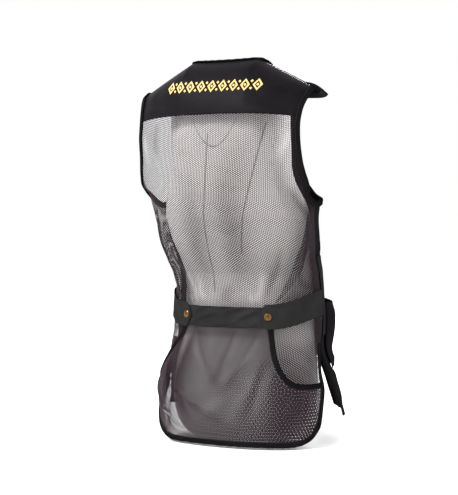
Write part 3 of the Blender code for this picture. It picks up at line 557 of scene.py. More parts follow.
def neck_height(angle):
    """Top of the back: the neckline across the neck, and the ridge beyond it."""
    x = abs(ring_point(angle, NECK_HEIGHT).x)
    if x >= NECK_HALF_WIDTH - 0.01 * MM:
        return NECK_HEIGHT
    return NECK_HEIGHT - BACK_NECK_DROP * (1 - (x / NECK_HALF_WIDTH) ** 2)


def yoke_corner():
    """Angle and height of the yoke's lower corner, on the armhole."""
    angle = YOKE_REACH
    for _ in range(6):
        angle = armhole_angle(yoke_height(angle))
    return angle, yoke_height(angle)


YOKE_CORNER_ANGLE, YOKE_CORNER_HEIGHT = yoke_corner()


def stretch_row(v, stretches):
    """Which stretch of a panel a share of its length falls in, and how far along."""
    row = v * sum(stretches)
    for index, size in enumerate(stretches):
        if row <= size or index == len(stretches) - 1:
            return index, min(1.0, row / size)
        row -= size


def back_mesh_place(u, v):
    """From the hem to the yoke. Above the armpit the columns fan to the armholes."""
    across = 2 * u - 1
    stretch, t = stretch_row(v, BACK_STRETCHES)
    if stretch == 0:
        angle = HEM_END * across
        height = blend(hem_height(angle), VENT_TOP, t)
    elif stretch == 1:
        height = blend(VENT_TOP, ARMPIT, t)
        angle = blend(HEM_END, SIDE, smooth((height - VENT_TOP) / (26 * MM))) * across
    else:
        share = t**BACK_ROW_GROWTH
        edge = blend(ARMPIT, YOKE_CORNER_HEIGHT, share)
        angle = armhole_angle(edge) * across
        height = blend(ARMPIT, yoke_height(YOKE_CORNER_ANGLE * across) + 3 * MM, share)
    edges = smooth((1 - abs(across)) / 0.05)
    rise = pleat_rise(angle, height) + crease_rise(BACK_CREASES, angle, height) * edges
    return angle, height, rise - SEAM


def yoke_top_angle(reach):
    """Angle along the yoke's top: even steps over the neck, then the shoulder."""
    neck = angle_over(NECK_HALF_WIDTH, NECK_HEIGHT, "back")
    if reach <= YOKE_NECK_SHARE:
        return neck * reach / YOKE_NECK_SHARE
    return blend(neck, ARMHOLE[-1][1], (reach - YOKE_NECK_SHARE) / (1 - YOKE_NECK_SHARE))


def yoke_place(u, v):
    across = 2 * u - 1
    reach = abs(across)
    lift = math.sin(v * math.pi / 2)
    edge = blend(YOKE_CORNER_HEIGHT, NECK_HEIGHT, lift)
    bend = armhole_angle(edge) - blend(YOKE_CORNER_ANGLE, ARMHOLE[-1][1], lift)
    top_angle = yoke_top_angle(reach)
    low_angle = YOKE_CORNER_ANGLE * reach
    angle = math.copysign(blend(low_angle, top_angle, lift) + bend * reach**4, across)
    height = blend(yoke_height(low_angle), neck_height(top_angle), lift)
    calm = smooth((1 - reach) / 0.1) * smooth(v / 0.12) * smooth((1 - v) / 0.2)
    return angle, height, crease_rise(YOKE_CREASES, angle, height) * calm


def ease(t):
    """Runs from 0 to 1 with small steps at both ends."""
    return (1 - math.cos(math.pi * t)) / 2


def front_height(v):
    stretch, t = stretch_row(v, FRONT_STRETCHES)
    if stretch == 0:
        return blend(FRONT_HEM, VENT_TOP, t)
    if stretch == 1:
        return blend(VENT_TOP, ARMPIT, t)
    return blend(ARMPIT, NECK_HEIGHT, ease(t))


def front_edge_x(height):
    """The front's edge beside the zip, and the V neck above it."""
    if height <= V_NECK_HEIGHT:
        return ZIP_HALF_GAP
    share = (height - V_NECK_HEIGHT) / (NECK_HEIGHT - V_NECK_HEIGHT)
    return blend(ZIP_HALF_GAP, NECK_HALF_WIDTH, share**0.85)


def front_place(side):
    def place(u, v):
        share = 1 - (1 - u) ** 1.5
        height = front_height(v)
        centre = front_angle(front_edge_x(height), height)
        if height <= ARMPIT:
            open_share = 1 - smooth((height - FRONT_HEM) / (VENT_TOP - FRONT_HEM))
            edge = SIDE + 0.001 + VENT_OPENING * open_share
        else:
            edge = 180 - armhole_angle(height, "front")
        angle = blend(centre, edge, share)
        low = smooth((VENT_TOP - height) / (VENT_TOP - FRONT_HEM))
        calm = smooth(u / 0.12) * smooth((1 - u) / 0.12) * smooth((SWING_TOP - height) / (60 * MM))
        beside = smooth((abs(angle) - POCKET_ANGLES[1]) / 4)
        over = smooth((height - POCKET_HEIGHTS[1]) / POCKET_SEAM)
        under = smooth((POCKET_HEIGHTS[0] - height) / POCKET_SEAM)
        calm *= min(1.0, beside + over + under)
        rise = crease_rise(FRONT_CREASES, angle, height) * calm
        return side * angle, height + CORNER_RISE * low * share**5, rise
    return place


def waist_place(side):
    def place(u, v):
        narrow = 1.6 * math.sin(math.pi * v)
        angle = blend(WAIST_ANGLES[0], WAIST_ANGLES[1] - narrow, u)
        return side * angle, blend(*WAIST_HEIGHTS, v), CLEAR + TWILL_THICK
    return place


def belt_out(angle, height):
    """The belt lies over the pouch's top edge, and past it on the mesh."""
    over_pouch = 1 - smooth((abs(angle) - 44) / 12)
    return pleat_rise(angle, height) + BELT_LIFT + TWILL_THICK + over_pouch * (CLEAR + MESH_THICK)


def belt_place(u, v):
    end = SNAP_ANGLE + 7
    angle = blend(-end, end, u)
    height = BELT_HEIGHT + (v - 0.5) * BELT_WIDTH
    under_tabs = smooth((SNAP_ANGLE - 3 - abs(angle)) / 8)
    rise = crease_rise(BELT_CREASES, angle, height) * under_tabs
    return angle, height, belt_out(angle, height) + max(0.0, rise)


def tab_place(side, rounded):
    """From the side seam back to the tab's tip, sloping down to the belt."""
    def place(u, v):
        across = abs(2 * v - 1)
        point = 1 - (1 - across**2) ** 0.5 if rounded else across
        tip = SNAP_ANGLE - 5 + 4.5 * point
        angle = blend(89.2, tip, u)
        middle = BELT_HEIGHT + 2 * MM + TAB_RISE * smooth((angle - SNAP_ANGLE) / (SIDE - SNAP_ANGLE))
        height = middle + (v - 0.5) * TAB_WIDTH
        raised = smooth((62 - angle) / 16) * (CLEAR + TWILL_THICK)
        waves = 0.7 * MM * math.sin(angle * 0.42 + v * 2.0) * smooth((angle - 42) / 10)
        return side * angle, height, belt_out(angle, height) + raised + max(0.0, waves)
    return place


def pouch_gap(angle, height):
    """How far the pouch stands off the back: most in its middle, none at its seams."""
    low = hem_height(angle) + 14 * MM
    share = min(1.0, max(0.0, (height - low) / (POUCH_TOP - 30 * MM - low)))
    bulge = math.sin(math.pi * share) ** 0.9
    sides = 1 - smooth((abs(angle) - 30) / 48)
    creases = crease_rise(POUCH_CREASES, angle, height) * smooth(bulge * 3)
    return max(0.0, (POUCH_GAP + pouch_fold_rise(angle, height)) * bulge * sides + creases)


def pouch_out(angle, height):
    return CLEAR + MESH_THICK + pouch_gap(angle, height)


def mouth_height(angle):
    """Top of the pouch: hidden under the belt, then the curved side mouth."""
    if abs(angle) <= MOUTH_START:
        return POUCH_TOP
    t = min(1.0, (abs(angle) - MOUTH_START) / (MOUTH_END - MOUTH_START))
    plunge = MOUTH_PLUNGE_RIGHT if angle < 0 else MOUTH_PLUNGE_LEFT
    return blend(POUCH_TOP, MOUTH_LOW, 1 - (1 - t) ** plunge)


def pouch_angle(reach):
    """Even steps over the middle, then ones that widen from the mouths outwards."""
    if reach <= POUCH_MID_SHARE:
        return MOUTH_START * reach / POUCH_MID_SHARE
    share = (reach - POUCH_MID_SHARE) / (1 - POUCH_MID_SHARE)
    return blend(MOUTH_START, MOUTH_END, share**1.7)


def pouch_place(u, v):
    across = 2 * u - 1
    angle = math.copysign(pouch_angle(abs(across)), across)
    height = blend(hem_height(angle) + SEAM, mouth_height(angle), v)
    return angle, height, pouch_out(angle, height)


def pocket_place(side):
    """A pocket whose sides and floor fold out like bellows. Its top is open."""
    def place(u, v):
        angle = blend(*POCKET_ANGLES, u)
        height = blend(*POCKET_HEIGHTS, v)
        sides = min(1.0, (1 - abs(2 * u - 1)) / 0.2) ** 0.75
        floor = min(1.0, v / 0.12) ** 0.75
        belly = 0.55 + 0.55 * smooth((v - 0.1) / 0.6) - 0.25 * smooth((v - 0.8) / 0.2)
        out = POCKET_LIFT + TWILL_THICK + POCKET_DEPTH * sides * floor * belly
        return side * angle, height, out
    return place


def pad_top_height(u):
    return NECK_HEIGHT - PAD_DROP - PAD_FALL * smooth((u - PAD_LEAVE) / (1 - PAD_LEAVE))


def pad_top(u, out):
    """Where the pad's top edge would lie if it followed the cloth."""
    height = pad_top_height(u)
    inner = angle_over(PAD_INNER_X[1], height, "front")
    outer = armhole_angle(min(height, PAD_WIDEST), "front") + PAD_OVERHANG
    return vest_point(blend(inner, outer, u) - 180, height, out)


def pad_point(u, v):
    """The pad hangs from the shoulder seam, and its outer corner stands clear of the
    cloth, so that its top edge runs straight from the seam out to that corner."""
    out = PAD_LIFT + PAD_THICK
    height = blend(PAD_LOW, pad_top_height(u), math.sin(v * math.pi / 2))
    inner = angle_over(blend(*PAD_INNER_X, v), height, "front")
    inner = min(inner, armhole_angle(height, "front") - 5)
    outer = armhole_angle(min(height, PAD_WIDEST), "front") + PAD_OVERHANG * smooth((v - 0.7) / 0.3)
    cloth = vest_point(blend(inner, outer, u) - 180, height, out)
    if u <= PAD_LEAVE:
        return cloth
    share = (u - PAD_LEAVE) / (1 - PAD_LEAVE)
    straight = pad_top(PAD_LEAVE, out).lerp(Vector(PAD_CORNER), share)
    straight.z += PAD_ARCH * math.sin(math.pi * share)
    return cloth + (straight - pad_top(u, out)) * v**4


# Node groups and materials

CLOTH_GLOSS = 0.0


def new_group(name, inputs, outputs):
    """An empty node group with named sockets: inputs by name, kind and value, outputs
    by name and kind."""
    group = bpy.data.node_groups.new(name, "ShaderNodeTree")
    for label, kind, value in inputs:
        socket = group.interface.new_socket(label, in_out="INPUT", socket_type="NodeSocket" + kind)
        if value is not None:
            socket.default_value = value
    for label, kind in outputs:
        group.interface.new_socket(label, in_out="OUTPUT", socket_type="NodeSocket" + kind)
    return group, group.nodes.new("NodeGroupInput"), group.nodes.new("NodeGroupOutput")


def put(tree, socket, value):
    """Links an output to the socket, or sets the socket's own value."""
    if isinstance(value, bpy.types.NodeSocket):
        tree.links.new(value, socket)
    else:
        socket.default_value = value


def maths(tree, operation, first, second=0.0, third=None, clamp=False):
    node = tree.nodes.new("ShaderNodeMath")
    node.operation = operation
    node.use_clamp = clamp
    put(tree, node.inputs[0], first)
    put(tree, node.inputs[1], second)
    if third is not None:
        put(tree, node.inputs[2], third)
    return node.outputs["Value"]


def vector_maths(tree, operation, first, second=None):
    node = tree.nodes.new("ShaderNodeVectorMath")
    node.operation = operation
    put(tree, node.inputs[0], first)
    if second is not None:
        put(tree, node.inputs[1], second)
    return node.outputs["Value" if operation == "LENGTH" else "Vector"]


def noise(tree, place, scale, detail=3.0, roughness=0.5):
    node = tree.nodes.new("ShaderNodeTexNoise")
    put(tree, node.inputs["Vector"], place)
    node.inputs["Scale"].default_value = scale
    node.inputs["Detail"].default_value = detail
    node.inputs["Roughness"].default_value = roughness
    return node.outputs["Fac"]


def mix_colour(tree, share, first, second):
    node = tree.nodes.new("ShaderNodeMix")
    node.data_type = "RGBA"
    colours = [socket for socket in node.inputs if socket.type == "RGBA"]
    put(tree, node.inputs["Factor"], share)
    put(tree, colours[0], first)
    put(tree, colours[1], second)
    return [socket for socket in node.outputs if socket.type == "RGBA"][0]


def net_group():
    """Round holes in staggered columns. Thread is 1 on the thread and 0 in a hole, and
    Round falls from a thread's middle to the hole's edge."""
    group, given, result = new_group(
        "net_holes",
        (("Place", "Vector", None), ("Pitch", "Float", NET_PITCH), ("Hole", "Float", NET_HOLE)),
        (("Thread", "Float"), ("Round", "Float")),
    )
    pitch = given.outputs["Pitch"]
    cell = group.nodes.new("ShaderNodeCombineXYZ")
    put(group, cell.inputs["X"], maths(group, "MULTIPLY", pitch, math.sqrt(3)))
    put(group, cell.inputs["Y"], pitch)
    cell.inputs["Z"].default_value = 1.0
    rows = vector_maths(group, "DIVIDE", given.outputs["Place"], cell.outputs["Vector"])
    away = []
    for shift in ((0.0, 0.0, 0.0), (0.5, 0.5, 0.0)):
        moved = vector_maths(group, "ADD", rows, shift)
        inside = vector_maths(group, "FRACTION", moved)
        centred = vector_maths(group, "SUBTRACT", inside, (0.5, 0.5, 0.0))
        flat = vector_maths(group, "MULTIPLY", centred, (math.sqrt(3), 1.0, 0.0))
        away.append(vector_maths(group, "LENGTH", flat))
    nearest = maths(group, "MINIMUM", away[0], away[1])
    over = maths(group, "SUBTRACT", nearest, given.outputs["Hole"])
    put(group, result.inputs["Thread"], maths(group, "MULTIPLY", over, NET_EDGE, clamp=True))
    put(group, result.inputs["Round"], maths(group, "MULTIPLY", over, NET_ROUND, clamp=True))
    return group


def weave_group():
    """Slanted ribs of a twill: Height for the bump, and Wear, a slow cloudy mask."""
    group, given, result = new_group(
        "twill_weave",
        (("Place", "Vector", None), ("Pitch", "Float", TWILL_PITCH), ("Slant", "Float", 1.0)),
        (("Height", "Float"), ("Wear", "Float")),
    )
    parts = group.nodes.new("ShaderNodeSeparateXYZ")
    put(group, parts.inputs["Vector"], given.outputs["Place"])
    slanted = maths(group, "MULTIPLY", parts.outputs["Y"], given.outputs["Slant"])
    ribs = maths(group, "ADD", parts.outputs["X"], slanted)
    turns = maths(group, "DIVIDE", ribs, given.outputs["Pitch"])
    wave = maths(group, "SINE", maths(group, "MULTIPLY", turns, 2 * math.pi))
    fuzz = noise(group, given.outputs["Place"], 900.0)
    put(group, result.inputs["Height"], maths(group, "MULTIPLY_ADD", wave, 0.35, fuzz))
    put(group, result.inputs["Wear"], noise(group, given.outputs["Place"], 14.0, 4.0, 0.6))
    return group


def seam_group():
    """Faint lines on the form's back: Line is 1 on a line and 0 off it."""
    group, given, result = new_group(
        "form_seams",
        (("Place", "Vector", None), ("Width", "Float", FORM_SEAM_WIDTH)),
        (("Line", "Float"),),
    )
    parts = group.nodes.new("ShaderNodeSeparateXYZ")
    put(group, parts.inputs["Vector"], given.outputs["Place"])
    across, height = parts.outputs["X"], parts.outputs["Z"]
    total = 0.0
    for middle, low, slant, bend, top in FORM_SEAMS:
        away = maths(group, "SUBTRACT", across, middle)
        up = maths(group, "SUBTRACT", height, low)
        if bend:
            curve = maths(group, "MULTIPLY", maths(group, "MULTIPLY", away, away), bend)
            away = maths(group, "SUBTRACT", up, curve)
        else:
            away = maths(group, "SUBTRACT", away, maths(group, "MULTIPLY", up, slant))
        near = maths(group, "DIVIDE", maths(group, "ABSOLUTE", away), given.outputs["Width"])
        line = maths(group, "SUBTRACT", 1.0, near, clamp=True)
        above = 1.0 if bend else maths(group, "MULTIPLY", up, 200.0, clamp=True)
        below = maths(group, "MULTIPLY", maths(group, "SUBTRACT", top, height), 200.0, clamp=True)
        line = maths(group, "MULTIPLY", maths(group, "MULTIPLY", line, above), below)
        total = maths(group, "MAXIMUM", total, line)
    behind = maths(group, "GREATER_THAN", parts.outputs["Y"], FORM_SEAM_BEHIND)
    inner = maths(group, "LESS_THAN", maths(group, "ABSOLUTE", across), FORM_SEAM_REACH)
    behind = maths(group, "MULTIPLY", behind, inner)
    put(group, result.inputs["Line"], maths(group, "MULTIPLY", total, behind))
    return group


GROUPS = {}
GROUP_MAKERS = {"net_holes": net_group, "twill_weave": weave_group, "form_seams": seam_group}


def use_group(tree, name, **values):
    """Puts a node group in a material, with its inputs set by name."""
    if name not in GROUPS:
        GROUPS[name] = GROUP_MAKERS[name]()
    node = tree.nodes.new("ShaderNodeGroup")
    node.node_tree = GROUPS[name]
    for label, value in values.items():
        put(tree, node.inputs[label], value)
    return node.outputs


def start_material(name, colour, roughness, metallic=0.0, gloss=CLOTH_GLOSS):
    made = bpy.data.materials.new(name)
    made.use_nodes = True
    tree = made.node_tree
    shader = tree.nodes["Principled BSDF"]
    shader.inputs["Base Color"].default_value = (*colour, 1.0)
    shader.inputs["Roughness"].default_value = roughness
    shader.inputs["Metallic"].default_value = metallic
    shader.inputs["Specular IOR Level"].default_value = gloss
    made.diffuse_color = (*colour, 1.0)
    return made, tree, shader


def cloth_place(tree):
    node = tree.nodes.new("ShaderNodeUVMap")
    node.uv_map = "cloth"
    return node.outputs["UV"]


def object_place(tree):
    return tree.nodes.new("ShaderNodeTexCoord").outputs["Object"]


def bump(tree, shader, height, distance, strength):
    node = tree.nodes.new("ShaderNodeBump")
    node.inputs["Distance"].default_value = distance
    node.inputs["Strength"].default_value = strength
    put(tree, node.inputs["Height"], height)
    put(tree, shader.inputs["Normal"], node.outputs["Normal"])


def sheen(shader, weight, tint):
    shader.inputs["Sheen Weight"].default_value = weight
    shader.inputs["Sheen Tint"].default_value = (*tint, 1.0)
    shader.inputs["Sheen Roughness"].default_value = 0.5


def net_material(name, colour):
    """Open net: the thread where the group says so, and nothing in the holes."""
    made, tree, shader = start_material(name, colour, 0.55)
    slant = tree.nodes.new("ShaderNodeLayerWeight")
    slant.inputs["Blend"].default_value = 0.5
    slanted = maths(tree, "POWER", slant.outputs["Facing"], 2.0)
    turned = maths(tree, "MULTIPLY", slanted, -NET_SLANT_LOSS)
    # The holes shrink with the per-vertex density: real gathering in the pleats, painted shade in
    # troughs, in corners and low on the sides, and painted highlight where ridges open them up.
    gathered = tree.nodes.new("ShaderNodeAttribute")
    gathered.attribute_name = "gather"
    smaller = maths(tree, "MULTIPLY_ADD", gathered.outputs["Fac"], -NET_GATHER_AND_SHADE_LOSS, turned)
    size = maths(tree, "MAXIMUM", maths(tree, "ADD", smaller, NET_HOLE), NET_SMALLEST)
    net = use_group(tree, "net_holes", Place=cloth_place(tree), Hole=size)
    sheen(shader, 0.06, (0.8, 0.72, 0.78))
    bump(tree, shader, net["Round"], 0.35 * MM, 0.6)
    clear = tree.nodes.new("ShaderNodeBsdfTransparent")
    mix = tree.nodes.new("ShaderNodeMixShader")
    put(tree, mix.inputs["Fac"], net["Thread"])
    put(tree, mix.inputs[1], clear.outputs["BSDF"])
    put(tree, mix.inputs[2], shader.outputs["BSDF"])
    put(tree, tree.nodes["Material Output"].inputs["Surface"], mix.outputs["Shader"])
    return made


def woven_material(name, colour, worn, roughness, pitch=TWILL_PITCH, slant=1.0, shine=0.0,
                   gloss=CLOTH_GLOSS):
    """Woven cloth with fine ribs and slightly uneven colour."""
    made, tree, shader = start_material(name, colour, roughness, gloss=gloss)
    weave = use_group(tree, "twill_weave", Place=cloth_place(tree), Pitch=pitch, Slant=slant)
    share = maths(tree, "MULTIPLY_ADD", weave["Wear"], 2.4, -0.75, clamp=True)
    put(tree, shader.inputs["Base Color"], mix_colour(tree, share, (*colour, 1.0), (*worn, 1.0)))
    sheen(shader, shine, (0.75, 0.75, 0.85))
    bump(tree, shader, weave["Height"], 0.12 * MM, 0.5)
    return made


def suede_material():
    made, tree, shader = start_material("black_suede", (0.024, 0.023, 0.025), 0.85)
    nap = noise(tree, object_place(tree), 420.0, 5.0, 0.65)
    cloudy = noise(tree, object_place(tree), 24.0, 3.0, 0.6)
    share = maths(tree, "MULTIPLY_ADD", cloudy, 2.0, -0.5, clamp=True)
    look = mix_colour(tree, share, (0.006, 0.0058, 0.0064, 1.0), (0.012, 0.0115, 0.012, 1.0))
    put(tree, shader.inputs["Base Color"], look)
    sheen(shader, 0.06, (0.7, 0.7, 0.75))
    bump(tree, shader, nap, 0.25 * MM, 0.5)
    return made


def metal_material():
    """Antique brass: dark in patches, brighter where it is rubbed."""
    made, tree, shader = start_material("antique_bronze", (0.36, 0.2, 0.07), 0.34, 1.0, 0.5)
    patches = noise(tree, object_place(tree), 320.0, 4.0, 0.6)
    share = maths(tree, "MULTIPLY_ADD", patches, 2.2, -0.6, clamp=True)
    look = mix_colour(tree, share, (0.06, 0.03, 0.01, 1.0), (0.2, 0.11, 0.035, 1.0))
    put(tree, shader.inputs["Base Color"], look)
    put(tree, shader.inputs["Roughness"], maths(tree, "MULTIPLY_ADD", patches, -0.3, 0.5))
    return made


def form_material():
    made, tree, shader = start_material("pale_form", (0.7, 0.685, 0.675), 0.55, gloss=0.4)
    seams = use_group(tree, "form_seams", Place=object_place(tree))
    cloudy = noise(tree, object_place(tree), 7.0, 3.0, 0.5)
    look = mix_colour(tree, cloudy, (0.64, 0.625, 0.615, 1.0), (0.76, 0.745, 0.735, 1.0))
    look = mix_colour(tree, maths(tree, "MULTIPLY", seams["Line"], 0.75), look, (0.1, 0.085, 0.08, 1.0))
    put(tree, shader.inputs["Base Color"], look)
    bump(tree, shader, noise(tree, object_place(tree), 260.0), 0.1 * MM, 0.2)
    return made


def thread_material(name, colour, shine):
    made, tree, shader = start_material(name, colour, 0.5)
    wave = noise(tree, object_place(tree), 1400.0, 2.0)
    sheen(shader, shine, (1.0, 0.9, 0.8))
    bump(tree, shader, wave, 0.1 * MM, 0.5)
    return made


NET = net_material("black_net", (0.022, 0.0165, 0.019))
POUCH_NET = net_material("pouch_net", (0.028, 0.0195, 0.024))
YOKE = woven_material("yoke_twill", (0.0038, 0.0032, 0.0039), (0.0066, 0.0056, 0.007), 0.42,
                      shine=0.02, gloss=0.03)
TWILL = woven_material("black_twill", (0.0075, 0.0068, 0.0077), (0.0115, 0.0105, 0.0118), 0.75)
GREY = woven_material("grey_twill", (0.013, 0.0132, 0.013), (0.021, 0.0213, 0.021), 0.85)
TAPE = woven_material("black_tape", (0.0045, 0.0042, 0.0047), (0.0075, 0.007, 0.0078), 0.85,
                      TAPE_RIB, 0.0)
SUEDE = suede_material()
METAL = metal_material()
FORM = form_material()
THREAD = thread_material("black_thread", (0.014, 0.0135, 0.015), 0.1)
GOLD = thread_material("gold_thread", (0.62, 0.44, 0.17), 0.2)


# Making pieces


def settle(piece, nodes=(), body=BODY):
    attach(piece, body)
    if nodes:
        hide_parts(*nodes)
    return piece


def to_object(name, mesh, look):
    data = bpy.data.meshes.new(name)
    mesh.to_mesh(data)
    mesh.free()
    data.shade_smooth()
    data.materials.append(look)
    made = bpy.data.objects.new(name, data)
    bpy.context.scene.collection.objects.link(made)
    return made


def arc_row(key):
    """Lengths round the smooth cloth from mid back, a degree apart, at one height."""
    if key not in ARC_STORE:
        spots = [ring_point(angle, key * ARC_STEP) for angle in range(91)]
        sums = [0.0]
        for first, second in zip(spots, spots[1:]):
            sums.append(sums[-1] + (second - first).length)
        ARC_STORE[key] = sums
    return ARC_STORE[key]


ARC_STORE = {}


def arc(angle, height):
    """Length round the smooth cloth from mid back, negative on the wearer's right."""
    reach = min(abs(angle), 89.999)
    low = int(height / ARC_STEP)
    degree = int(reach)
    lengths = []
    for key in (low, low + 1):
        row = arc_row(key)
        lengths.append(blend(row[degree], row[degree + 1], reach - degree))
    return math.copysign(blend(*lengths, height / ARC_STEP - low), angle)


def sheet_grid(point, columns, rows, grain=None, looped=False):
    """A grid whose points come from shares u and v. The map called cloth follows it in
    metres, from grain or else along its own rows and columns."""
    mesh = bmesh.new()
    bmesh.ops.create_grid(mesh, x_segments=columns, y_segments=rows, size=0.5)
    mesh.verts.ensure_lookup_table()
    shares = [(vert.co.x + 0.5, vert.co.y + 0.5) for vert in mesh.verts]
    places = [point(u, v) for u, v in shares]
    wide = columns + 1
    across, along = {}, {}
    for row in range(rows + 1):
        for column in range(columns // 2, columns):
            i = row * wide + column
            across[i + 1] = across.setdefault(i, 0.0) + (places[i + 1] - places[i]).length
        for column in range(columns // 2, 0, -1):
            i = row * wide + column
            across[i - 1] = across[i] - (places[i - 1] - places[i]).length
    for column in range(wide):
        along[column] = 0.0
        for row in range(rows):
            i = row * wide + column
            along[i + wide] = along[i] + (places[i + wide] - places[i]).length
    layer = mesh.loops.layers.uv.new("cloth")
    spots = [grain(u, v) if grain else (across[i], along[i]) for i, (u, v) in enumerate(shares)]
    for face in mesh.faces:
        for loop in face.loops:
            loop[layer].uv = spots[loop.vert.index]
    for vert, place in zip(mesh.verts, places):
        vert.co = place
    if looped:
        bmesh.ops.remove_doubles(mesh, verts=mesh.verts, dist=0.01 * MM)
    mesh.normal_update()
    width = max(across[row * wide + columns] - across[row * wide] for row in range(rows + 1))
    length = along[rows * wide + columns // 2]
    return mesh, width, length


def face_outwards(mesh):
    """Turns the faces so that the cloth's outer side is its front."""
    score = 0.0
    for face in mesh.faces:
        middle = face.calc_center_median()
        score += face.normal.dot(middle - Vector((0.0, 0.0, middle.z))) * face.calc_area()
    if score < 0:
        bmesh.ops.reverse_faces(mesh, faces=mesh.faces)
    mesh.normal_update()


def cloth_piece(name, point, columns, rows, look, slot, nodes, thick=0.0, held="hung", grain=None,
                rests_on="torso_form", cut=None, gather=None):
    """A panel of cloth: one sheet, or a shell with that thickness under its face."""
    mesh, width, length = sheet_grid(point, columns, rows, grain)
    # Per-vertex net density read by the net material: real gathering, and painted shade and highlight.
    if gather:
        drawn_in_and_shaded = mesh.verts.layers.float.new("gather")
        for i, vert in enumerate(mesh.verts):
            vert[drawn_in_and_shaded] = gather(i % (columns + 1) / columns, i // (columns + 1) / rows)
    face_outwards(mesh)
    area = sum(face.calc_area() for face in mesh.faces)
    if thick:
        bmesh.ops.solidify(mesh, geom=mesh.faces[:], thickness=thick)
    piece = settle(to_object(name, mesh, look), nodes)
    cut or (width, max(length, area / width))
    return piece


def panel(name, place, *args, **options):
    """A cloth piece whose place function gives the angle, the height and the rise."""
    return cloth_piece(name, lambda u, v: vest_point(*place(u, v)), *args, **options)


# Cross section of a tape folded over a cloth's edge: how far in from the edge, and
# how far out, where 1 is the tape's own outer face.
TAPE_PROFILE = (
    (7.0, -2.3, 0), (0.6, -2.4, 0), (-0.8, -1.2, 0), (-1.0, 0.4, 0),
    (-0.5, 0.6, 1), (0.9, 1.3, 1), (5.0, 1.65, 1), (9.6, 1.6, 1), (11.6, 1.2, 1), (12.0, 0.2, 1),
)
TAPE_SEAM = (10.2, 1.7, 1)


def in_basis(aim, first, second):
    """The amounts of two vectors that come closest to a third."""
    a, b, c = first.dot(first), first.dot(second), second.dot(second)
    d, e = first.dot(aim), second.dot(aim)
    scale = a * c - b * b
    return (d * c - e * b) / scale, (a * e - b * d) / scale


def tape_frame(path, index, inward, closed):
    """Turn and climb, in degrees and metres, of one metre across the tape."""
    count = len(path)
    angle, height = path[index]
    after = path[(index + 1) % count] if closed else path[min(index + 1, count - 1)]
    before = path[index - 1] if closed else path[max(index - 1, 0)]
    here = vest_point(angle, height)
    normal = vest_point(angle, height, 1 * MM) - here
    aim = normal.cross(vest_point(*after) - vest_point(*before)).normalized() * inward
    per_degree = vest_point(angle + 1, height) - here
    per_mm = here - vest_point(angle, height - 1 * MM)
    return in_basis(aim, per_degree, per_mm)


def spline(points, t, closed):
    """A smooth line through the points, at a share of its length in points."""
    spans = len(points) if closed else len(points) - 1
    spot = t * spans
    i = min(int(spot), spans - 1)
    share = spot - i
    if closed:
        before, first, last, after = (points[(i + k) % len(points)] for k in (-1, 0, 1, 2))
    else:
        before, first, last, after = (points[min(max(i + k, 0), spans)] for k in (-1, 0, 1, 2))
    return 0.5 * (
        2 * first
        + (last - before) * share
        + (2 * before - 5 * first + 4 * last - after) * share**2
        + (3 * first - before - 3 * last + after) * share**3
    )


def tape_line(path, frames, out, inset, under, over):
    """The line along a path that one place of the tape's cross section draws."""
    line = []
    for (angle, height), (turn, climb) in zip(path, frames):
        a = angle + inset * TAPE_NARROWER * MM * turn
        h = min(height + inset * TAPE_NARROWER * MM * climb * MM, NECK_HEIGHT)
        line.append(vest_point(a, h, under * MM + over * out(a, h)))
    return line


def tape(name, path, out, inward, rows, closed=False):
    """Binding tape folded over an edge, with a line of stitches beside its inner side."""
    frames = [tape_frame(path, i, inward, closed) for i in range(len(path))]
    lines = [tape_line(path, frames, out, *place) for place in TAPE_PROFILE]
    last = len(lines) - 1

    def point(u, v):
        spot = v * last
        i = min(int(spot), last - 1)
        here = spline(lines[i], u, closed).lerp(spline(lines[i + 1], u, closed), spot - i)
        ripple = math.sin(u * rows * 0.9 + 2 * math.sin(u * rows * 0.13))
        here.z += TAPE_RIPPLE * ripple * math.sin(math.pi * v)
        return here

    mesh, width_along, girth = sheet_grid(point, rows, 2 * last, looped=closed)
    face_outwards(mesh)
    area = sum(face.calc_area() for face in mesh.faces)
    piece = settle(to_object(name + "_tape", mesh, TAPE), [name])
    flat = (width_along, max(girth, area / width_along))
    seam = tape_line(path, frames, out, *TAPE_SEAM)
    points = [spline(seam, i / (4 * rows), closed) for i in range(4 * rows + 1)]
    stitches(name + "_stitches", [points])


def walk(points, step):
    """Even steps along a line of points: each a place and a direction."""
    spots, left = [], step / 2
    for first, second in zip(points, points[1:]):
        span = (second - first).length
        if span < 0.001 * MM:
            continue
        way = (second - first) / span
        reach = left
        while reach <= span:
            spots.append((first + way * reach, way))
            reach += step
        left = reach - span
    return spots


def add_block(mesh, size, spot, way, axis):
    """A small block at a spot, with one of its axes along the way there."""
    turn = way.to_track_quat(axis, "Z").to_matrix().to_4x4()
    made = bmesh.ops.create_cube(mesh, size=1.0)["verts"]
    bmesh.ops.scale(mesh, vec=size, verts=made)
    bmesh.ops.rotate(mesh, matrix=turn, verts=made)
    bmesh.ops.translate(mesh, vec=spot, verts=made)


def stitches(name, lines):
    """Rows of short raised stitches along lines of points."""
    mesh = bmesh.new()
    for line in lines:
        for spot, way in walk(line, STITCH_STEP):
            outward = spot - Vector((0.0, 0.0, spot.z))
            add_block(mesh, STITCH, spot + outward.normalized() * STITCH[2] / 4, way, "X")
    settle(to_object(name, mesh, THREAD))


def armhole_path(side):
    """Up the back's edge from the armpit to the ridge, then down the front's."""
    heights = [blend(ARMPIT, NECK_HEIGHT, ease(i / 18)) for i in range(19)]
    path = [(side * armhole_angle(h), h) for h in heights]
    path += [(side * (180 - armhole_angle(h, "front")), h) for h in heights[-2:0:-1]]
    return path


def armhole_out(angle, height):
    """The armhole's tape lies a little fuller where it turns under the arm."""
    under_arm = smooth((505 * MM - height) / (20 * MM))
    return TAPE_LIFT + 1.6 * MM * under_arm + pleat_rise(angle, height)


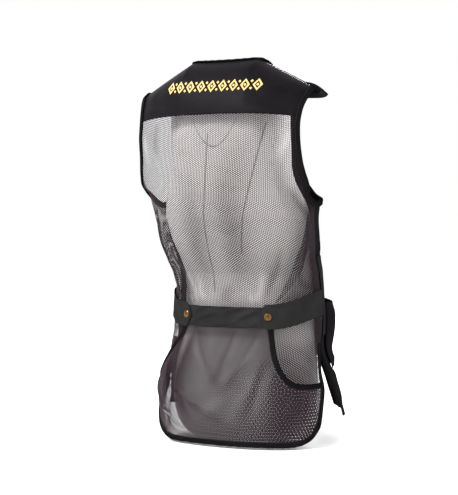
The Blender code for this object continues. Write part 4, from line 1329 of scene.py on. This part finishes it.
def neck_path():
    """Up the right edge of the V, round the back of the neck and down the left."""
    heights = [front_height(i / 34) for i in range(16, 34)]
    heights = [V_NECK_HEIGHT + 2 * MM] + [h for h in heights if h > V_NECK_HEIGHT + 8 * MM]
    right = [(-front_angle(front_edge_x(h), h), h) for h in heights]
    back = []
    for i in range(-5, 6):
        angle = math.copysign(yoke_top_angle(abs(i) / 12), i)
        back.append((angle, neck_height(angle)))
    return right + back + [(-a, h) for a, h in reversed(right)]


def hem_path():
    """Down the right vent, along the hem and up the left vent."""
    vent = [blend(VENT_TOP - 2 * MM, HEM_CORNER_TOP, i / 5) for i in range(5)]
    path = [(-HEM_END, h) for h in vent] + [(-HEM_END, HEM_CORNER_TOP)]
    for column in range(-31, 32):
        angle = math.copysign(pouch_angle(abs(column) / 32), column)
        path.append((angle, hem_height(angle)))
    return path + [(HEM_END, HEM_CORNER_TOP)] + [(HEM_END, h) for h in reversed(vent)]


def hem_out(angle, height):
    """Over the pouch as far as it reaches, then down onto the mesh."""
    over_pouch = 1 - smooth((height - MOUTH_LOW - 4 * MM) / (14 * MM))
    return CLEAR + (CLEAR + MESH_THICK + 0.4 * MM) * over_pouch


def mouth_path(side):
    """Along the mouth, from under the belt out to where it meets the hem's tape."""
    path = []
    for i in range(1, 25):
        angle = side * blend(MOUTH_START, MOUTH_END - 2, (i / 24) ** 2)
        path.append((angle, mouth_height(angle)))
    return path


def mouth_out(angle, height):
    return pouch_out(angle, height) + 0.6 * MM


# Panels of net


def net_grain(place, shift=(0.0, 0.0), turn=0.0, finer=1.0):
    """The net's own directions on a panel: round the body and up it, or turned."""
    def grain(u, v):
        angle, height, _ = place(u, v)
        across = arc(angle, height)
        return (
            (across * math.cos(turn) - height * math.sin(turn)) * finer + shift[0],
            (across * math.sin(turn) + height * math.cos(turn)) * finer + shift[1],
        )
    return grain


def back_gather(u, v):
    """Net density: denser on the gathered pleats; denser in troughs as painted shade and a little more
    open on ridges as painted highlight; denser beyond the pleats between armpit and vents; and denser
    low at the sides, under the pouch's mouths, as painted shade.
    """
    angle, height, _ = back_mesh_place(u, v)
    # Troughs get denser net as painted shade, ridges more open net as painted highlight.
    creases = crease_rise(BACK_CREASES, angle, height) / (2.5 * MM)
    pulled = pleat_rise(angle, height) / PLEAT_RISE
    beyond = smooth((abs(angle) - curve_value(PLEAT, 1, height / MM)) / 8)
    beyond *= smooth((ARMPIT - height) / (40 * MM)) * smooth((height - VENT_TOP) / (60 * MM))
    # Painted shade: denser net low at the sides, under the pouch's mouths.
    behind = smooth((VENT_TOP + 30 * MM - height) / (60 * MM)) * smooth((abs(angle) - 25) / 20)
    return max(-0.6, min(1.7, -creases + 0.4 * pulled + beyond + 1.1 * behind))


def pouch_gather(u, v):
    """Net density: a small even amount; denser low down and towards both corners, most of all on the
    wearer's left, as painted shade; denser in troughs as painted shade and more open on ridges as
    painted highlight.
    """
    angle, height, _ = pouch_place(u, v)
    # Painted shade: denser net low down and towards both corners.
    lower = smooth((110 * MM - height) / (90 * MM))
    corner = smooth((abs(angle) - 26) / 26)
    shaded = corner * (CORNER_DENSER_RIGHT if angle < 0 else CORNER_DENSER_LEFT)
    # Troughs get denser net as painted shade, ridges more open net as painted highlight.
    creases = crease_rise(POUCH_CREASES, angle, height) / (3.5 * MM) * (1 - 0.85 * corner)
    return max(-0.5, min(2.7, POUCH_DENSER + 0.3 * lower + shaded - creases))


panel("back_net", back_mesh_place, 150, 170, NET, "black_net", ["back_mesh"],
      grain=net_grain(back_mesh_place), gather=back_gather)
panel("pouch_net", pouch_place, 190, 84, POUCH_NET, "black_net", ["pouch"],
      grain=net_grain(pouch_place, turn=POUCH_TURN, finer=POUCH_FINER), gather=pouch_gather)


def pleat_place(side):
    """A tuck of net folded over along the pleat: out to its fold, and back under."""
    def place(u, v):
        t = blend(0.03, 0.97, v)
        height = blend(PLEAT[0][0], PLEAT[-1][0], t) * MM
        middle = curve_value(PLEAT, 1, height / MM)
        taper = math.sin(math.pi * t) ** 0.9
        folded = 1 - abs(2 * u - 1)
        across = (folded - 0.45) * PLEAT_FOLD * taper
        angle = middle - math.degrees(across / FOLD_RADIUS)
        lift = blend(0.5, 2.0, smooth(u * 1.6)) * MM * (0.4 + 0.6 * taper)
        return side * angle, height, pleat_rise(angle, height) + lift
    return place


for side, word in SIDES:
    place = pleat_place(side)
    panel("pleat_" + word, place, 24, 60, NET, "black_net", [],
          grain=net_grain(place, (NET_PITCH * 0.87, NET_PITCH / 2)), gather=lambda u, v: 1.2)


# Panels of twill


def black_panel(name, place, columns, rows, node, look=TWILL):
    panel(name, place, columns, rows, look, "black_twill", [node], thick=SHELL)


def grey_panel(name, place, columns, rows, node):
    panel(name, place, columns, rows, GREY, "grey_twill", [node], thick=SHELL)


black_panel("yoke_cloth", yoke_place, 120, 56, "back_yoke", YOKE)
grey_panel("belt_strip", belt_place, 70, 14, "belt_centre")
for side, word in SIDES:
    black_panel("front_cloth_" + word, front_place(side), 36, 130, "front_" + word)
    grey_panel("side_panel_" + word, waist_place(side), 12, 50, "waist_panel_" + word)
    grey_panel("tab_cloth_" + word, tab_place(side, side < 0), 70, 24, "belt_tab_" + word)
    black_panel("pocket_cloth_" + word, pocket_place(side), 50, 50, "pocket_" + word)
cloth_piece("shoulder_pad", pad_point, 40, 40, SUEDE, "black_suede", ["butt_pad"],
            thick=PAD_THICK, cut=PAD_CUT)


# Tapes


tape("neck_binding", neck_path(), lambda a, h: NECK_TAPE_LIFT, 1, 190)
tape("hem_binding", hem_path(), hem_out, -1, 220)
for side, word in SIDES:
    tape("armhole_binding_" + word, armhole_path(side), armhole_out, -side, 180, closed=True)
    tape("mouth_binding_" + word, mouth_path(side), mouth_out, side, 90)


# Zip


def zip_spot(side, inset, height, out):
    return vest_point(side * front_angle(ZIP_HALF_GAP + inset, height), height, out)


def zip_tape_point(side):
    def point(u, v):
        height = blend(FRONT_HEM + 3 * MM, V_NECK_HEIGHT - 2 * MM, v)
        return zip_spot(side, blend(-ZIP_TAPE_OUTER, ZIP_TAPE_INNER, u), height, -TWILL_THICK - CLEAR)
    return point


def teeth(name, side, nodes):
    """A row of teeth along the tape's edge."""
    behind = -TWILL_THICK - CLEAR + TOOTH_SIZE[2] / 2
    middle = -TEETH_OUTER - TEETH_WIDTH / 2
    top = V_NECK_HEIGHT - 6 * MM
    line = [zip_spot(side, middle, blend(FRONT_HEM + 4 * MM, top, i / 60), behind) for i in range(61)]
    mesh = bmesh.new()
    for spot, way in walk(line, TOOTH_PITCH):
        add_block(mesh, TOOTH_SIZE, spot, way, "Y")
    settle(to_object(name, mesh, METAL), nodes)


for side, word in SIDES:
    cloth_piece("zip_cloth_" + word, zip_tape_point(side), 6, 120, TAPE, "black_tape",
                ["zip_tape_" + word], thick=ZIP_TAPE_THICK, rests_on="zip_teeth_row_" + word)
    teeth("zip_teeth_row_" + word, side, ["zip_teeth_" + word])


# Stitching on the panels


def line_on(place, spots, rise=0.15 * MM):
    """A line of points on a panel, through shares given as pairs."""
    points = []
    for (u1, v1), (u2, v2) in zip(spots, spots[1:]):
        for i in range(24):
            angle, height, out = place(blend(u1, u2, i / 24), blend(v1, v2, i / 24))
            points.append(vest_point(angle, height, out + rise))
    angle, height, out = place(*spots[-1])
    return points + [vest_point(angle, height, out + rise)]


stitches("yoke_stitches", [
    line_on(yoke_place, [(0.02 + 0.06 * i, v) for i in range(17)]) for v in (0.025, 0.06)
])
for side, word in SIDES:
    place = tab_place(side, side < 0)
    stitches("tab_stitches_" + word, [line_on(place, TAB_BORDER)])
    place = waist_place(side)
    lines = [line_on(place, [(u, 0.02), (u, 0.98)]) for u in (0.07, 0.93)]
    stitches("side_stitches_" + word, lines)
    place = pocket_place(side)
    stitches("pocket_stitches_" + word, [
        line_on(place, [(0.015, 0.98), (0.015, 0.03), (0.985, 0.03), (0.985, 0.98)]),
        line_on(place, [(0.1, 0.93), (0.9, 0.93)]),
    ])
stitches("belt_stitches", [
    line_on(belt_place, [(0.25 * i, v) for i in range(5)]) for v in (0.09, 0.91)
])


# Embroidered band


def yoke_spot(x, z, out):
    """A point of the yoke over x, at a height above the yoke's lower edge."""
    height = height_at(0.0, YOKE_HEIGHT + z)
    angle = math.copysign(angle_over(x, height, "back"), x)
    height = height_at(angle, YOKE_HEIGHT + z)
    rise = crease_rise(YOKE_CREASES, angle, height)
    return vest_point(angle, height, out + max(0.0, rise))


def lozenge(mesh, place, size, stroke):
    """A flat lozenge, hollow where it has a stroke."""
    made = bmesh.ops.create_circle(mesh, cap_ends=not stroke, radius=1.0, segments=4)["verts"]
    bmesh.ops.scale(mesh, vec=(*size, 1.0), verts=made)
    if stroke:
        inner = bmesh.ops.create_circle(mesh, cap_ends=False, radius=1.0, segments=4)["verts"]
        bmesh.ops.scale(mesh, vec=(size[0] - stroke, size[1] - stroke, 1.0), verts=inner)
        made = made + inner
        edges = list({edge for vert in made for edge in vert.link_edges})
        bmesh.ops.bridge_loops(mesh, edges=edges)
    bmesh.ops.translate(mesh, vec=(*place, 0.0), verts=made)


def embroidered_band():
    mesh = bmesh.new()
    for i in range(BAND_COUNT):
        middle = (i - (BAND_COUNT - 1) / 2) * BAND_STEP
        lozenge(mesh, (middle, BAND_MIDDLE), BAND_SIZE, BAND_STROKE)
        lozenge(mesh, (middle, BAND_MIDDLE), (BAND_DOT, BAND_DOT), 0.0)
        for rise in (0.6, -0.6) if i else ():
            place = (middle - BAND_STEP / 2, BAND_MIDDLE + BAND_SIZE[1] * rise)
            lozenge(mesh, place, (BAND_DOT, BAND_DOT), 0.0)
    bmesh.ops.recalc_face_normals(mesh, faces=mesh.faces[:])
    mesh.normal_update()
    flipped = [face for face in mesh.faces if face.normal.z < 0]
    bmesh.ops.reverse_faces(mesh, faces=flipped)
    bmesh.ops.subdivide_edges(mesh, edges=mesh.edges[:], cuts=3, use_grid_fill=True)
    for vert in mesh.verts:
        vert.co = yoke_spot(vert.co.x, vert.co.y, BAND_LIFT)
    face_outwards(mesh)
    bmesh.ops.solidify(mesh, geom=mesh.faces[:], thickness=BAND_LIFT)
    settle(to_object("embroidered_band", mesh, GOLD))


embroidered_band()


# Hard pieces keep their solids

for name, look, slot in (
    ("torso_form", FORM, "pale_form"),
    ("snap_left", METAL, "bronze_metal"),
    ("snap_right", METAL, "bronze_metal"),
    ("zip_slider", METAL, "bronze_metal"),
    ("zip_pull", METAL, "bronze_metal"),
):
    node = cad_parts[name]
    node.data.materials.clear()
    node.data.materials.append(look)


# Floor, light and camera


def stage_floor():
    look = start_material("studio_floor", (1.0, 1.0, 1.0), 1.0, gloss=0.0)[0]
    mesh = bmesh.new()
    bmesh.ops.create_grid(mesh, x_segments=1, y_segments=1, size=40.0)
    floor = to_object("studio_floor", mesh, look)


def area_light(name, place, aim, size, power):
    light = bpy.data.lights.new(name, "AREA")
    light.shape = "DISK"
    light.size = size
    light.energy = power
    made = bpy.data.objects.new(name, light)
    made.location = place
    made.rotation_mode = "QUATERNION"
    made.rotation_quaternion = (Vector(aim) - Vector(place)).to_track_quat("-Z", "Y")
    bpy.context.scene.collection.objects.link(made)


def studio():
    stage_floor()
    world = bpy.data.worlds.new("studio")
    world.use_nodes = True
    world.node_tree.nodes["Background"].inputs["Color"].default_value = (1.0, 1.0, 1.0, 1.0)
    world.node_tree.nodes["Background"].inputs["Strength"].default_value = 1.0
    bpy.context.scene.world = world
    bpy.context.scene.view_settings.view_transform = "Standard"
    for light in LIGHTS:
        area_light(*light)


def camera():
    turn = CAMERA_TURN
    place = Vector((-math.sin(turn) * CAMERA_DISTANCE, math.cos(turn) * CAMERA_DISTANCE, CAMERA_HEIGHT))
    right = Vector((-math.cos(turn), -math.sin(turn), 0.0))
    per_pixel = CAMERA_DISTANCE / CAMERA_FOCAL
    aim = Vector((0.0, 0.0, CAMERA_HEIGHT))
    aim -= right * (AXIS_AT[0] - FRAME_MIDDLE[0]) * per_pixel
    aim.z -= (FRAME_MIDDLE[1] - AXIS_AT[1]) * per_pixel
    lens = bpy.data.cameras.new("camera")
    lens.sensor_width = SENSOR
    lens.lens = CAMERA_FOCAL / FRAME_LONG * SENSOR
    made = bpy.data.objects.new("camera", lens)
    made.location = place
    made.rotation_mode = "QUATERNION"
    made.rotation_quaternion = (aim - place).to_track_quat("-Z", "Y")
    bpy.context.scene.collection.objects.link(made)
    bpy.context.scene.camera = made


studio()
camera()
